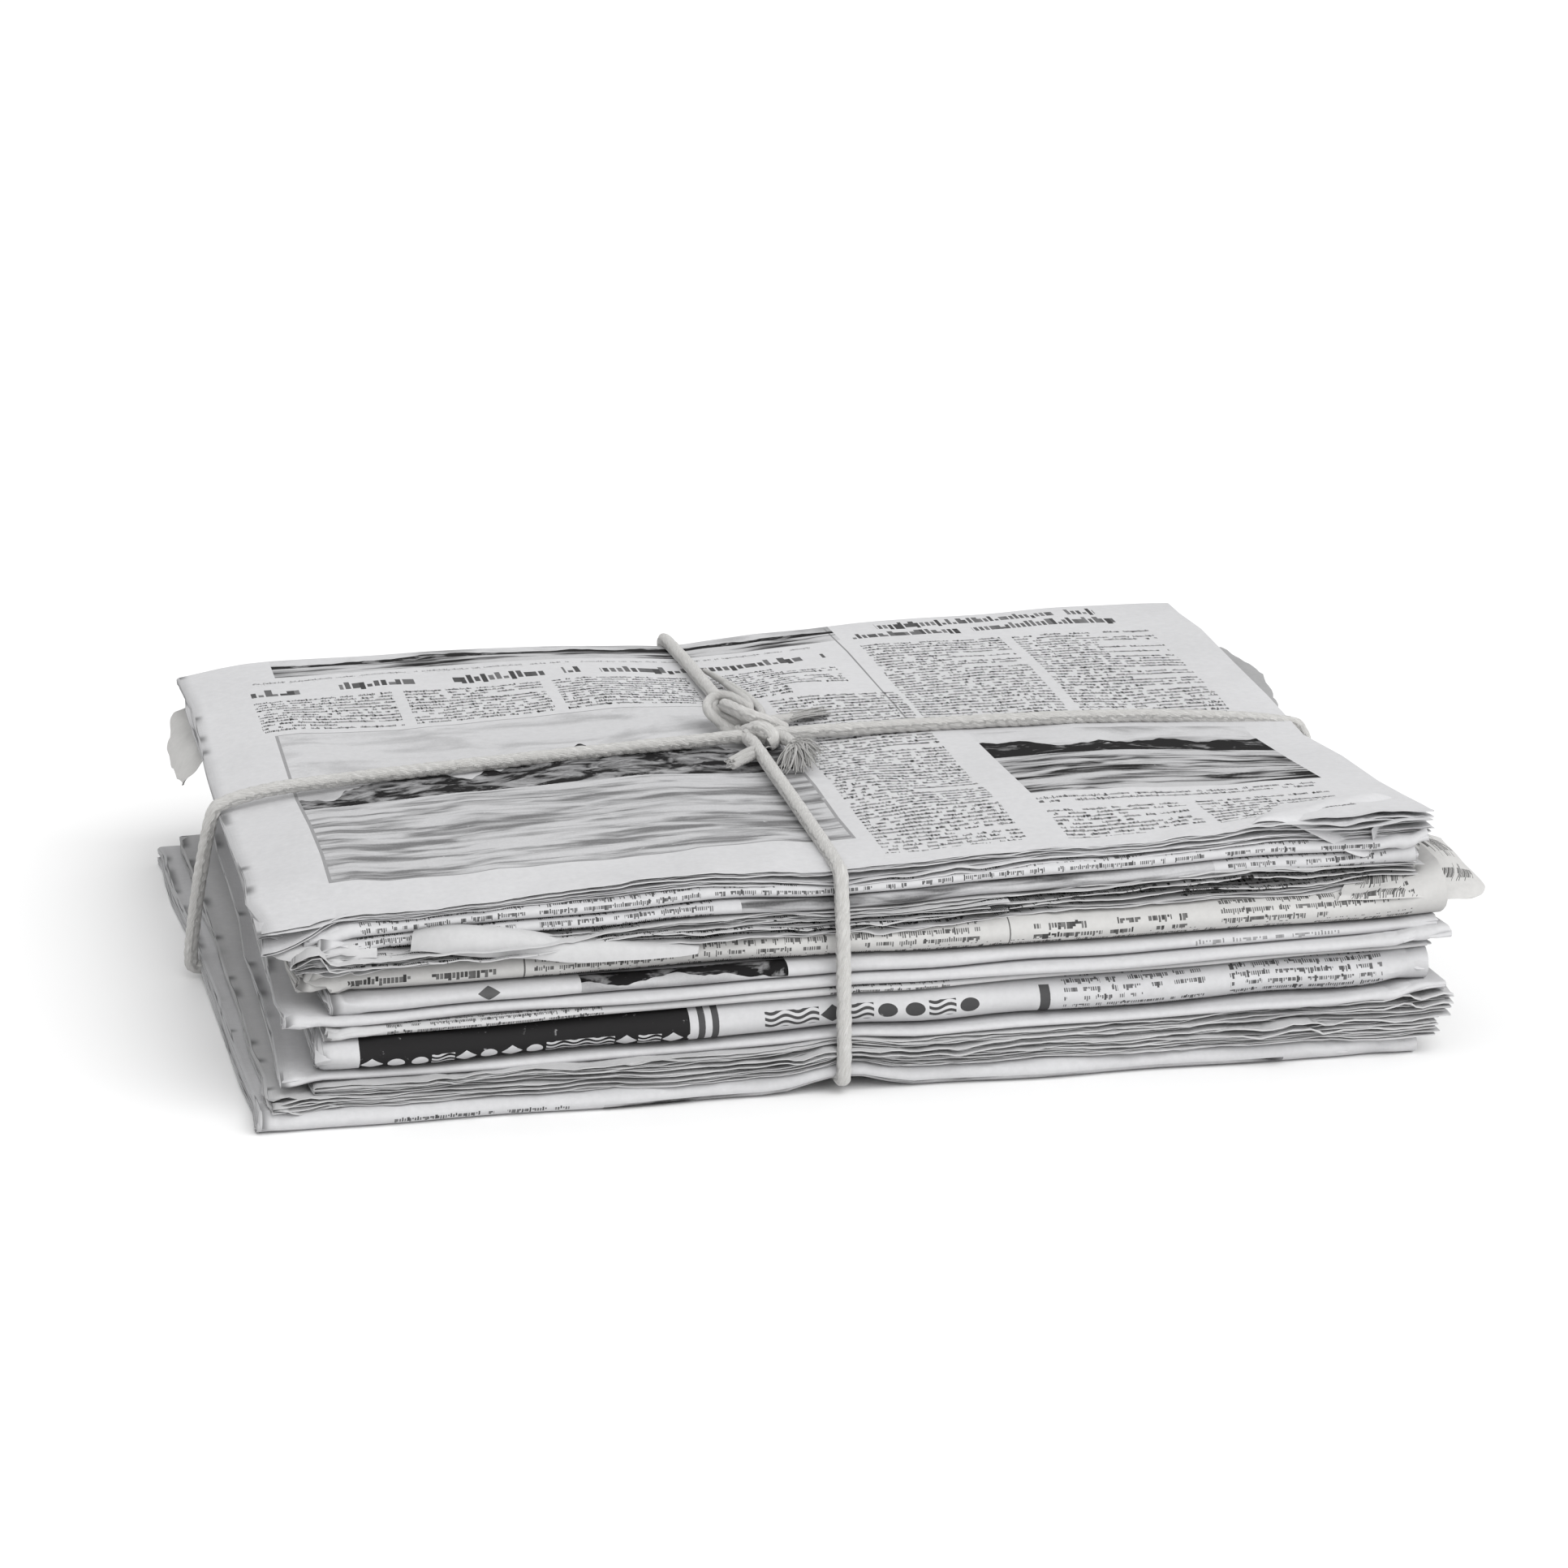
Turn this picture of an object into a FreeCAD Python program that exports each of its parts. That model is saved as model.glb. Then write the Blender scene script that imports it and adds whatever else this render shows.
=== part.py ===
"""A stack of folded broadsheet newspapers, tied crosswise with thick cotton string.

Millimetres. +X runs to the right along the wide front of the stack, +Y to the back and +Z up.
The origin is at the middle of the footprint, on the surface that the stack lies on.

Each newspaper is one solid: its pages, closed at the spine on the left, folded once across
the middle. Its section along the depth is a long U: two halves joined at a rounded fold, with
a narrow slit between them and stepped page edges at the open end. The string presses a dent
into the stack, deeper in the newspapers near the top, and lies in a bed under the lowest one.
"""
import FreeCAD, Part
import math
import os
from collections import namedtuple

Vec = FreeCAD.Vector

# Newspaper
PAGE_WIDTH = 343.0            # spine to cut edge of a full broadsheet page
FOLDED_DEPTH = 289.0          # half the height of a page, fold to page edges
LEFT, RIGHT = -PAGE_WIDTH / 2, PAGE_WIDTH / 2
FRONT, BACK = -FOLDED_DEPTH / 2, FOLDED_DEPTH / 2
PAPER_GAP = 0.3               # air between two newspapers
SLIT = 0.4                    # air between the two halves of one newspaper
PAGE_STEP = 3.0               # how far one bundle of pages stands back from the next
FOLD_ROUNDNESS = 0.85         # length of the rounded fold, in thicknesses
FOLD_WALL = 0.35              # paper between the inner crease and the fold, in thicknesses
FOLD_FACETS = 4               # flats of the rounded fold
SPINE_CLOSING = 0.6           # thickness left at the very edge of the spine
CUT_CLOSING = 0.8             # thickness left at the cut edges on the right

# String
STRING_DIAMETER = 4.4
BED_GAP = 0.25                # air between the string and the lowest newspaper, or the surface
ARC_SHARE = 0.45              # share of the shorter run that a bend of the string takes up
KNOT_REACH = 8.5              # from the middle of the knot to its sides
KNOT_BOTTOM, KNOT_TOP = 66.1, 72.6
KNOT_BEVEL = 1.4

# Dents that the string presses into the top of the stack
LENGTHWISE_X = -5.0           # the string over the front and the back
CROSSWISE_Y = -6.0            # the string over the left and the right
DENT_WIDTH = 30.0
FRONT_DENT = 3.4
BACK_DENT = 3.0
LEFT_DENT = 5.0
RIGHT_DENT = 8.0
TOP_DENT = 1.6
EDGE_REACH = 42.0             # how far a dent at an edge reaches into the stack
PINCH = 2.5                   # how far the string pulls the folds back into the stack
DENT_FADING = 2.0             # how fast the dents fade on the way down

# Droop of the left side, of the overhang there and of its front corner
LEFT_DROOP = 2.5
LEFT_DROOP_START = -40.0
OVERHANG_DROOP = 3.0
OVERHANG_START, OVERHANG_END = LEFT + 25.5, LEFT - 4.0
CORNER_DROOP = 5.0
CORNER_START_X, CORNER_START_Y = LEFT + 111.5, FRONT + 74.5

# Arch of the lowest newspapers over the string below them
ARCH_TOP = 2.7                # half the width of its top
ARCH_FOOT = 18.0              # half the width of its foot
ARCH_SHARES = (1.0, 0.63, 0.44, 0.24, 0.17)   # share of its height, boundary by boundary

# Middle of the knot, and the routes of the string's axis: away from the knot, round the stack
# and back to it
KNOT = (-5.0, -6.0, 68.4)
BED_Z = STRING_DIAMETER / 2 + BED_GAP
LENGTHWISE_ROUTE = (
    (-5.0, -14.65, 68.4), (-4.6, FRONT + 1.3, 65.2), (-4.2, FRONT - 2.5, 61.4),
    (-5.6, FRONT - 14.2, 7.0), (-6.0, FRONT - 10.5, BED_Z), (-6.0, BACK - 14.4, BED_Z),
    (-6.1, BACK - 10.8, 6.8), (-6.4, BACK + 1.1, 63.0), (-6.2, BACK - 2.5, 67.6),
    (-5.0, 2.65, 68.4))
CROSSWISE_ROUTE = (
    (3.65, -6.0, 68.7), (RIGHT - 71.5, -4.5, 70.7), (RIGHT + 0.7, -3.2, 64.9),
    (RIGHT + 5.2, -3.2, 60.4), (RIGHT + 8.9, -3.8, 47.0), (RIGHT + 8.1, -5.8, 13.5),
    (RIGHT - 3.0, -6.2, BED_Z), (9.5, -6.1, BED_Z), (-2.0, -6.1, 7.1), (-9.0, -6.1, 7.1),
    (-20.5, -6.1, BED_Z), (LEFT - 7.2, -6.4, BED_Z), (LEFT - 10.2, -7.4, 5.7),
    (LEFT - 2.8, -16.8, 55.0), (LEFT + 1.5, -16.6, 58.8), (LEFT + 25.5, -14.4, 63.2),
    (-13.65, -6.0, 68.2))

# Loose ends at the knot: direction in degrees from +X, then sections along them: distance from
# the knot's side, half width, half thickness, height of the middle
TAILS = {
    "string_tail_frayed": (45.0, ((0.0, 2.2, 2.2, 68.4), (9.0, 3.0, 1.8, 68.6),
                                  (20.0, 6.0, 1.0, 68.2))),
    "string_tail_tassel": (-45.0, ((0.0, 2.2, 2.2, 68.4), (8.0, 3.2, 1.9, 69.4),
                                   (24.0, 8.0, 1.2, 68.3))),
    "string_tail_stub": (-135.0, ((0.0, 2.2, 2.2, 68.4), (9.0, 2.2, 2.2, 68.6))),
}
TAIL_SIDES = 8

Newspaper = namedtuple("Newspaper", "name pitch taper fold trim x y turn")

# From the bottom up. Pitch: thickness with the gap above it. Taper: gain of thickness from the
# middle to the right edge. Fold: the side that shows the fold. Trim: how much narrower it is
# than a full page. x, y: shift. Turn in degrees.
NEWSPAPERS = [
    Newspaper("newspaper_13_bottom", 6.2, 0.05, "front", 2.0, -7.0, -13.5, 1.6),
    Newspaper("newspaper_12", 4.4, 0.35, "back", 0.0, -1.0, -12.0, 0.9),
    Newspaper("newspaper_11", 4.4, 0.35, "back", 9.0, 8.5, -11.5, 0.4),
    Newspaper("newspaper_10", 2.6, 0.0, "front", 2.0, 6.0, -11.0, -0.5),
    Newspaper("newspaper_09", 10.6, 0.05, "front", 17.0, 6.0, -10.0, 0.5),
    Newspaper("newspaper_08", 2.4, -0.3, "front", 18.0, 6.0, -7.5, 0.9),
    Newspaper("newspaper_07", 3.4, 0.0, "front", 2.0, 6.5, -8.0, -0.4),
    Newspaper("newspaper_06", 4.6, -0.25, "front", 17.0, 10.0, -6.5, 0.3),
    Newspaper("newspaper_05", 9.4, 0.08, "front", 7.0, 9.0, -5.0, -0.6),
    Newspaper("newspaper_04", 6.4, 0.0, "back", 13.0, 2.0, -2.5, 0.7),
    Newspaper("newspaper_03", 4.5, 0.1, "front", 20.0, 5.0, -3.0, 0.4),
    Newspaper("newspaper_02", 4.6, -0.2, "front", 15.0, 7.0, -2.0, -0.3),
    Newspaper("newspaper_01_top", 4.3, 0.08, "back", 0.0, 0.5, 0.0, 0.2),
]
BACK_GAIN = 0.015             # gain of thickness from the middle to the back
UNDENTED_COUNT = 6            # newspapers at the bottom that the dents don't reach
REST_TRIM = 0.05              # pressed off the lowest newspaper by the surface it lies on

# Lines across the stack at which the dented newspapers and the arched ones follow their shape
DENT_X_LINES = (LEFT + 13.5, OVERHANG_START, LENGTHWISE_X - 33.0, LENGTHWISE_X,
                LENGTHWISE_X + 33.0, RIGHT - 71.5, RIGHT - 31.5)
DENT_Y_LINES = (FRONT + 24.5, CROSSWISE_Y - 28.0, CROSSWISE_Y, CROSSWISE_Y + 28.0, BACK - 32.5)
ARCH_STEPS = (-ARCH_FOOT, -ARCH_TOP, ARCH_TOP, ARCH_FOOT)
ARCH_X_LINES = tuple(LENGTHWISE_X + step for step in ARCH_STEPS)
ARCH_Y_LINES = tuple(CROSSWISE_Y + step for step in ARCH_STEPS)


def bell(distance, reach):
    """A smooth bump: 1 at no distance, near 0 past twice the reach."""
    return math.exp(-(distance / reach) ** 2)


def ramp(value, start, end):
    """A smooth step from 0 at the start to 1 at the end."""
    share = min(1.0, max(0.0, (value - start) / (end - start)))
    return share * share * (3 - 2 * share)


def dent(x, y):
    """How far the string and the paper's own weight press the top of the stack down."""
    lengthwise = TOP_DENT + FRONT_DENT * bell(y - FRONT, EDGE_REACH)
    lengthwise += BACK_DENT * bell(y - BACK, EDGE_REACH)
    crosswise = TOP_DENT + LEFT_DENT * bell(x - LEFT, EDGE_REACH)
    crosswise += RIGHT_DENT * bell(x - RIGHT, EDGE_REACH)
    down = lengthwise * bell(x - LENGTHWISE_X, DENT_WIDTH)
    down += crosswise * bell(y - CROSSWISE_Y, DENT_WIDTH)
    down += LEFT_DROOP * ramp(x, LEFT_DROOP_START, LEFT)
    down += OVERHANG_DROOP * ramp(x, OVERHANG_START, OVERHANG_END)
    front_left = ramp(x, CORNER_START_X, LEFT) * ramp(y, CORNER_START_Y, FRONT)
    return down + CORNER_DROOP * front_left


def arch(distance):
    """Share of the arch over a string at this distance from it."""
    return min(1.0, max(0.0, (ARCH_FOOT - abs(distance)) / (ARCH_FOOT - ARCH_TOP)))


def flat_height(level, x, y):
    """Height of the boundary under a newspaper in a stack that no string presses."""
    across, back = x / RIGHT, BACK_GAIN * y / BACK
    return sum(p.pitch * (1 + p.taper * across + back) for p in NEWSPAPERS[:level])


def boundary(level, x, y):
    """Height of the boundary under the newspaper with this number, at a place in the stack."""
    flat = flat_height(level, x, y)
    if level < len(ARCH_SHARES):
        height = STRING_DIAMETER + 2 * BED_GAP
        arches = arch(x - LENGTHWISE_X) + arch(y - CROSSWISE_Y)
        lowest = REST_TRIM if level == 0 else 0.0
        return flat - lowest + height * arches * ARCH_SHARES[level]
    if level <= UNDENTED_COUNT:
        return flat
    base = flat_height(UNDENTED_COUNT, x, y)
    share = (flat - base) / (flat_height(len(NEWSPAPERS), x, y) - base)
    return flat - dent(x, y) * share ** DENT_FADING


def lines(level):
    """The lines across the stack that a newspaper needs for its shape: along x, along y."""
    if level >= UNDENTED_COUNT:
        return DENT_X_LINES, DENT_Y_LINES
    return ARCH_X_LINES, ARCH_Y_LINES if level < len(ARCH_SHARES) else ()


def plan(paper, along, back):
    """A place on a newspaper, from its middle: along its width and to its back."""
    turn = math.radians(paper.turn)
    x = paper.x + along * math.cos(turn) - back * math.sin(turn)
    y = paper.y + along * math.sin(turn) + back * math.cos(turn)
    return x, y


def edge_at(paper, x, back):
    """Where the line at this distance to the back crosses a line across the stack."""
    turn = math.radians(paper.turn)
    along = (x - paper.x + back * math.sin(turn)) / math.cos(turn)
    y = plan(paper, along, back)[1]
    return x, y - math.copysign(PINCH, back) * bell(x - LENGTHWISE_X, DENT_WIDTH)


class Section:
    """The outline of a newspaper, cut from its front edge to its back edge."""

    def __init__(self, level, front, back, closing):
        self.level, self.closing = level, closing
        self.thickness = NEWSPAPERS[level].pitch - PAPER_GAP
        self.opening, self.fold = front, back
        if NEWSPAPERS[level].fold == "front":
            self.opening, self.fold = back, front
        self.inward = math.copysign(1.0, self.fold[1] - self.opening[1])

    def heights(self, y):
        """The place at this depth and its four heights: both faces of both halves."""
        share = (y - self.opening[1]) / (self.fold[1] - self.opening[1])
        x = self.opening[0] + (self.fold[0] - self.opening[0]) * share
        low = boundary(self.level, x, y)
        high = boundary(self.level + 1, x, y) - PAPER_GAP
        quarter = (high - low - SLIT) / 4
        k = self.closing * quarter
        return x, (low + quarter - k, low + quarter + k, high - quarter - k, high - quarter + k)

    def point(self, y, which):
        """A point on one of the four heights, or between two of them."""
        x, heights = self.heights(y)
        whole = int(which)
        rest = which - whole
        z = heights[whole] if rest == 0 else (
            heights[whole] * (1 - rest) + heights[whole + 1] * rest)
        return Vec(x, y, z)

    def face(self, start, end, which):
        """The points of one of the four heights, between the page edges and the fold."""
        low, high = sorted((start, end))
        inside = sorted((y for y in lines(self.level)[1] if low < y < high), reverse=end < start)
        return [self.point(y, which) for y in [start, *inside, end]]

    def round_fold(self, start, tip):
        """The rounded fold, from the bottom of the newspaper to its top."""
        points = []
        low, high = self.point(start, 0).z, self.point(start, 3).z
        for step in range(1, FOLD_FACETS):
            angle = math.pi * (step / FOLD_FACETS - 0.5)
            y = start + (tip - start) * math.cos(angle)
            z = (low + high) / 2 + (high - low) / 2 * math.sin(angle)
            points.append(Vec(self.point(y, 0).x, y, z))
        return points

    def wire(self):
        """The closed outline."""
        inward, open_end = self.inward, self.opening[1]
        fold_start = self.fold[1] - inward * self.thickness * FOLD_ROUNDNESS
        crease = self.fold[1] - inward * self.thickness * FOLD_WALL
        page = [open_end + inward * PAGE_STEP * step for step in (0.0, 1.0, 0.4, 1.6)]
        points = self.face(page[0], fold_start, 0)
        points += self.round_fold(fold_start, self.fold[1])
        points += self.face(fold_start, page[3], 3)
        points += [self.point(page[3], 2.5), self.point(page[2], 2.5)]
        points += self.face(page[2], crease, 2)[:-1] + [self.point(crease, 1.5)]
        points += self.face(crease, page[1], 1)[1:]
        points += [self.point(page[1], 0.5), self.point(page[0], 0.5), points[0]]
        return Part.makePolygon(points)


def newspaper(level):
    """One folded newspaper: its sections joined from the spine to the cut edges."""
    paper = NEWSPAPERS[level]
    half_width, half_depth = (PAGE_WIDTH - paper.trim) / 2, FOLDED_DEPTH / 2
    rounding = (paper.pitch - PAPER_GAP) / 4
    spine = end_sections(level, (-half_width, SPINE_CLOSING), (-half_width + rounding, 1.0))
    cut = end_sections(level, (half_width - rounding, 1.0), (half_width, CUT_CLOSING))
    reach = half_width - 3 * rounding - half_depth * abs(math.sin(math.radians(paper.turn)))
    middle = [Section(level, edge_at(paper, x, -half_depth), edge_at(paper, x, half_depth), 1.0)
              for x in lines(level)[0] if abs(x - paper.x) < reach]
    return Part.makeLoft([section.wire() for section in spine + middle + cut], True, True)


def rest_on_surface(solid):
    """Trims the lowest newspaper flat where it lies on the surface."""
    box = solid.BoundBox
    corner = Vec(box.XMin, box.YMin, box.ZMin - 1)
    return solid.cut(Part.makeBox(box.XLength, box.YLength, 1 - box.ZMin, corner))


def end_sections(level, *ends):
    """Sections across the very ends of a newspaper, square to its own length."""
    paper, half_depth = NEWSPAPERS[level], FOLDED_DEPTH / 2
    return [Section(level, plan(paper, along, -half_depth), plan(paper, along, half_depth), closing)
            for along, closing in ends]


def corner_arc(before, corner, after):
    """The bend at a corner of a route, as large as its two runs allow."""
    back, ahead = before - corner, after - corner
    run = min(back.Length, ahead.Length)
    back.normalize()
    ahead.normalize()
    half_turn = (math.pi - back.getAngle(ahead)) / 2
    reach = ARC_SHARE * run
    radius = reach / math.tan(half_turn)
    inward = back + ahead
    inward.normalize()
    middle = corner + inward * (radius / math.cos(half_turn) - radius)
    return corner + back * reach, middle, corner + ahead * reach, radius


def string_tube(route):
    """The string along a route: straight runs joined by bends."""
    points = [Vec(*point) for point in route]
    edges, here, radii = [], points[0], []
    for before, corner, after in zip(points, points[1:], points[2:]):
        start, middle, end, radius = corner_arc(before, corner, after)
        edges.append(Part.LineSegment(here, start).toShape())
        edges.append(Part.Arc(start, middle, end).toShape())
        here = end
        radii.append(round(radius, 1))
    edges.append(Part.LineSegment(here, points[-1]).toShape())
    path = Part.Wire(edges)
    circle = Part.Circle(points[0], points[1] - points[0], STRING_DIAMETER / 2).toShape()
    tube = path.makePipe(Part.Face(Part.Wire(circle)))
    ratio = tube.Volume / (math.pi * STRING_DIAMETER ** 2 / 4 * path.Length)
    print("string length", round(path.Length, 1), "volume ratio", round(ratio, 5), "radii", radii)
    return tube


def knot():
    """The tight body of the knot, with a flat side for each string and loose end."""
    corner = KNOT_REACH / math.cos(math.pi / 8)
    rings = []
    for z, radius in ((KNOT_BOTTOM, corner), (KNOT_TOP - KNOT_BEVEL, corner),
                      (KNOT_TOP, corner - KNOT_BEVEL)):
        angles = [math.pi / 8 + step * math.pi / 4 for step in range(9)]
        rings.append(Part.makePolygon([Vec(KNOT[0] + radius * math.cos(a),
                                           KNOT[1] + radius * math.sin(a), z) for a in angles]))
    return Part.makeLoft(rings, True, True)


def tail(angle, sections):
    """A loose end of the string, untwisted and spread towards its end."""
    turn = math.radians(angle)
    along, across = Vec(math.cos(turn), math.sin(turn), 0), Vec(-math.sin(turn), math.cos(turn), 0)
    rings = []
    for distance, half_width, half_thickness, z in sections:
        middle = Vec(KNOT[0], KNOT[1], z) + along * (KNOT_REACH + distance)
        rings.append(Part.makePolygon([
            middle + across * (half_width * math.cos(a)) + Vec(0, 0, half_thickness * math.sin(a))
            for a in (2 * math.pi * step / TAIL_SIDES for step in range(TAIL_SIDES + 1))]))
    return Part.makeLoft(rings, True, True)


def main():
    os.makedirs("parts", exist_ok=True)
    solids = {paper.name: newspaper(level) for level, paper in enumerate(NEWSPAPERS)}
    lowest = NEWSPAPERS[0].name
    solids[lowest] = rest_on_surface(solids[lowest])
    solids["string_lengthwise"] = string_tube(LENGTHWISE_ROUTE)
    solids["string_crosswise"] = string_tube(CROSSWISE_ROUTE)
    solids["string_knot"] = knot()
    for name, (angle, sections) in TAILS.items():
        solids[name] = tail(angle, sections)
    footprint = Part.makeCompound(list(solids.values())).BoundBox.Center
    for name, solid in solids.items():
        solid.translate(Vec(-footprint.x, -footprint.y, 0))
        print(name, solid.isValid(), round(solid.Volume / 1000, 2), "cm3")
        solid.exportStep("parts/" + name + ".step")


main()
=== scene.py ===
"""Looks of a tied stack of folded newspapers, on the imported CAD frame.

Laid out as an add-on, "Newspaper Stack", and run as a script. Lengths are in millimetres and
become metres when a mesh is written. Every newspaper is built of leaf bundles: each bundle is
an outline in the plane of width and depth into the paper, swept along the folded sheet from
its lower edge, round the fold, to its upper edge. Places and heights come from the CAD solids.
"""

import math
import random

import bpy
import numpy as np
from bpy.props import FloatProperty, FloatVectorProperty, IntProperty, PointerProperty
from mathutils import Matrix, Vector
from mathutils.bvhtree import BVHTree


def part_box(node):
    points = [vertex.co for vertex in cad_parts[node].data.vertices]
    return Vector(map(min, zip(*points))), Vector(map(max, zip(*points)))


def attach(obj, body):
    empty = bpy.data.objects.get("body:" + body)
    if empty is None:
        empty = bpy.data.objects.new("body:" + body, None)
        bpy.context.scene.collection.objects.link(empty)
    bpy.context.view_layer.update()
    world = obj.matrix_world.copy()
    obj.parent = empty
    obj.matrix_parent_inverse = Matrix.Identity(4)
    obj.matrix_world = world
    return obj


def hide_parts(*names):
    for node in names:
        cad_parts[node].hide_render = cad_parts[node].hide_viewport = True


bl_info = {
    "name": "Newspaper Stack",
    "version": (1, 0, 0),
    "blender": (4, 5, 0),
    "location": "View3D > Sidebar > Stack",
    "description": "A tied stack of folded newspapers, piece by piece",
    "category": "Object",
}

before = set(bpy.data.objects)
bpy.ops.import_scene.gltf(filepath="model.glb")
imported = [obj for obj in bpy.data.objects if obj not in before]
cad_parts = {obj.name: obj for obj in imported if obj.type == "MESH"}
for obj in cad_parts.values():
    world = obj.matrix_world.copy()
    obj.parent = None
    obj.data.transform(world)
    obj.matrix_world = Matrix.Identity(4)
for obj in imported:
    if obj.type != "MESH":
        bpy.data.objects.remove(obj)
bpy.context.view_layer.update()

MM = 0.001

# Newspapers. fold: the side with the fold. layers: leaf bundles in each half. fill: share of
# its room that a bundle takes up. ragged: unevenness of the open edges. flutter: how far leaf
# edges wander up and down. pinked: toothed edges. spacing: distance of points along the width.
# waves: height of the waves of the upper sheet. short: length of bundles that end early.
FRONT_FOLD = dict(fold="front", layers=3, fill=0.6, ragged=0.8, flutter=0.1, pinked=0, spacing=7.5,
                  slot="newsprint_white")
BACK_FOLD = dict(fold="back", layers=3, fill=0.34, ragged=1.9, flutter=0.4, pinked=0.3, spacing=2.8,
                 slot="newsprint_grey")
NEWSPAPERS = {
    "newspaper_01_top": dict(BACK_FOLD, ragged=0.9, flutter=0.28, pinked=0.35, spacing=1.7, waves=1,
                             slot="newsprint_top"),
    "newspaper_02": FRONT_FOLD,
    "newspaper_03": dict(FRONT_FOLD, slot="newsprint_printed"),
    "newspaper_04": dict(BACK_FOLD, layers=4, fill=0.32, ragged=2, flutter=0.45, pinked=0.35,
                         spacing=2.2, short={3: 206, 4: 200}),
    "newspaper_05": dict(FRONT_FOLD, layers=4, ragged=1, slot="newsprint_yellowed"),
    "newspaper_06": FRONT_FOLD,
    "newspaper_07": dict(FRONT_FOLD, layers=2, flutter=0.08),
    "newspaper_08": dict(FRONT_FOLD, layers=2, flutter=0.05, slot="newsprint_grey"),
    "newspaper_09": dict(FRONT_FOLD, layers=4, ragged=1, slot="newsprint_printed"),
    "newspaper_10": dict(FRONT_FOLD, layers=2, flutter=0.05),
    "newspaper_11": BACK_FOLD,
    "newspaper_12": BACK_FOLD,
    "newspaper_13_bottom": dict(FRONT_FOLD, fill=0.55, ragged=1),
}
# Bends of single leaves: first and last bundle counted from the outside, half (1 upper, -1
# lower, 0 both), place and reach along the width, place as a share of the way from the fold and
# reach along the depth, then rise, push towards the open edge, and height of the crumples.
BENDS = {
    "newspaper_01_top": [
        (0, 0, 1, 322, 24, 1, 20, 3.6, 1.5, 0.7), (1, 1, 1, 312, 30, 1, 24, 1.9, 3.2, 0.5),
        (2, 2, 1, 330, 26, 1, 24, 0.9, 5, 0.4), (0, 0, 1, 2, 15, 1, 11, -5.4, 1.5, 0.3),
        (0, 1, -1, 6, 16, 1, 14, -2.2, -4, 1), (1, 2, 1, 14, 18, 1, 14, -1, -3.5, 0.9),
        (0, 0, 1, 110, 55, 1, 12, 0.7, 1.2, 0.2), (0, 0, -1, 200, 60, 1, 16, -0.9, 2, 0.4)],
    "newspaper_02": [
        (0, 3, 0, 330, 12, 0, 22, 0.8, 0, 1.3), (0, 3, 0, 2, 10, 0, 18, -1, 0, 1.4)],
    "newspaper_03": [
        (0, 3, 0, 2, 14, 0, 20, -0.8, 0, 1.8), (0, 1, 1, 322, 10, 0, 20, 1, 0, 1)],
    "newspaper_04": [
        (0, 0, 1, 50, 44, 1, 9, -2.2, 5, 0.5), (0, 2, 1, 268, 40, 1, 30, 2.6, 1, 0.3),
        (1, 1, 1, 60, 50, 1, 14, -0.6, -3.5, 0.5), (2, 2, 1, 110, 50, 1, 14, 0, 2.4, 0.6),
        (3, 4, 0, 206, 22, 1, 16, 0.3, 3.4, 0.3), (3, 4, 0, 90, 60, 1, 14, 0, -2.5, 0.8),
        (0, 2, 1, 4, 14, 1, 14, 1.5, 3, 1.8), (1, 3, -1, 20, 30, 1, 14, 0, 3, 1.2),
        (0, 1, -1, 150, 60, 1, 14, -1.1, 2.2, 0.5)],
    "newspaper_05": [
        (0, 0, 1, 348, 20, 0.08, 60, 9, 0, 1.6), (1, 1, 1, 348, 20, 0.06, 50, 6, 0, 1),
        (2, 2, 1, 348, 18, 0.05, 44, 3.2, 0, 0.8), (0, 2, 0, 0, 12, 0, 14, 0.6, 0, 2.4),
        (0, 1, 1, 350, 17, 0.6, 60, 11, 0, 1.4), (2, 3, 1, 350, 17, 0.5, 60, 5, 0, 0.9)],
    "newspaper_06": [
        (0, 1, 0, 332, 14, 0, 26, 0.6, 0, 0.9), (0, 2, 0, 2, 8, 0, 14, 0, 0, 1)],
    "newspaper_07": [
        (0, 2, 0, 336, 16, 0, 30, 1.4, 0, 0.9), (0, 2, 0, 0, 12, 0, 20, 0.6, 0, 0.6)],
    "newspaper_08": [(0, 2, 0, 0, 12, 0, 20, -0.5, 0, 1)],
    "newspaper_09": [
        (0, 4, 0, 322, 10, 0, 22, 0.5, 0, 0.8), (0, 4, 0, 0, 10, 0, 20, 0.3, 0, 0.8)],
    "newspaper_10": [
        (0, 2, 0, 338, 18, 0, 26, 1.6, 0, 0.8), (0, 2, 0, 0, 12, 0, 20, -0.4, 0, 0.8)],
    "newspaper_11": [
        (0, 0, 1, 332, 22, 1, 20, 1.2, 2.5, 1.2), (1, 3, 0, 250, 60, 1, 14, -0.5, -3, 0.4),
        (0, 1, 1, 60, 50, 1, 12, 0.3, 2, 0.6), (0, 1, -1, 150, 50, 1, 12, -0.5, 3, 0.6)],
    "newspaper_12": [
        (0, 1, 1, 300, 30, 1, 16, 0.7, 3, 1), (2, 3, 0, 120, 60, 1, 14, -0.3, -3.5, 0.4),
        (0, 1, 0, 6, 14, 1, 14, 0.4, 2, 1.2)],
    "newspaper_13_bottom": [
        (0, 2, 1, 330, 20, 0, 24, 0.6, 0, 1.4), (0, 0, 0, 0, 10, 0, 16, 0.5, 0, 0.6)],
}
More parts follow.
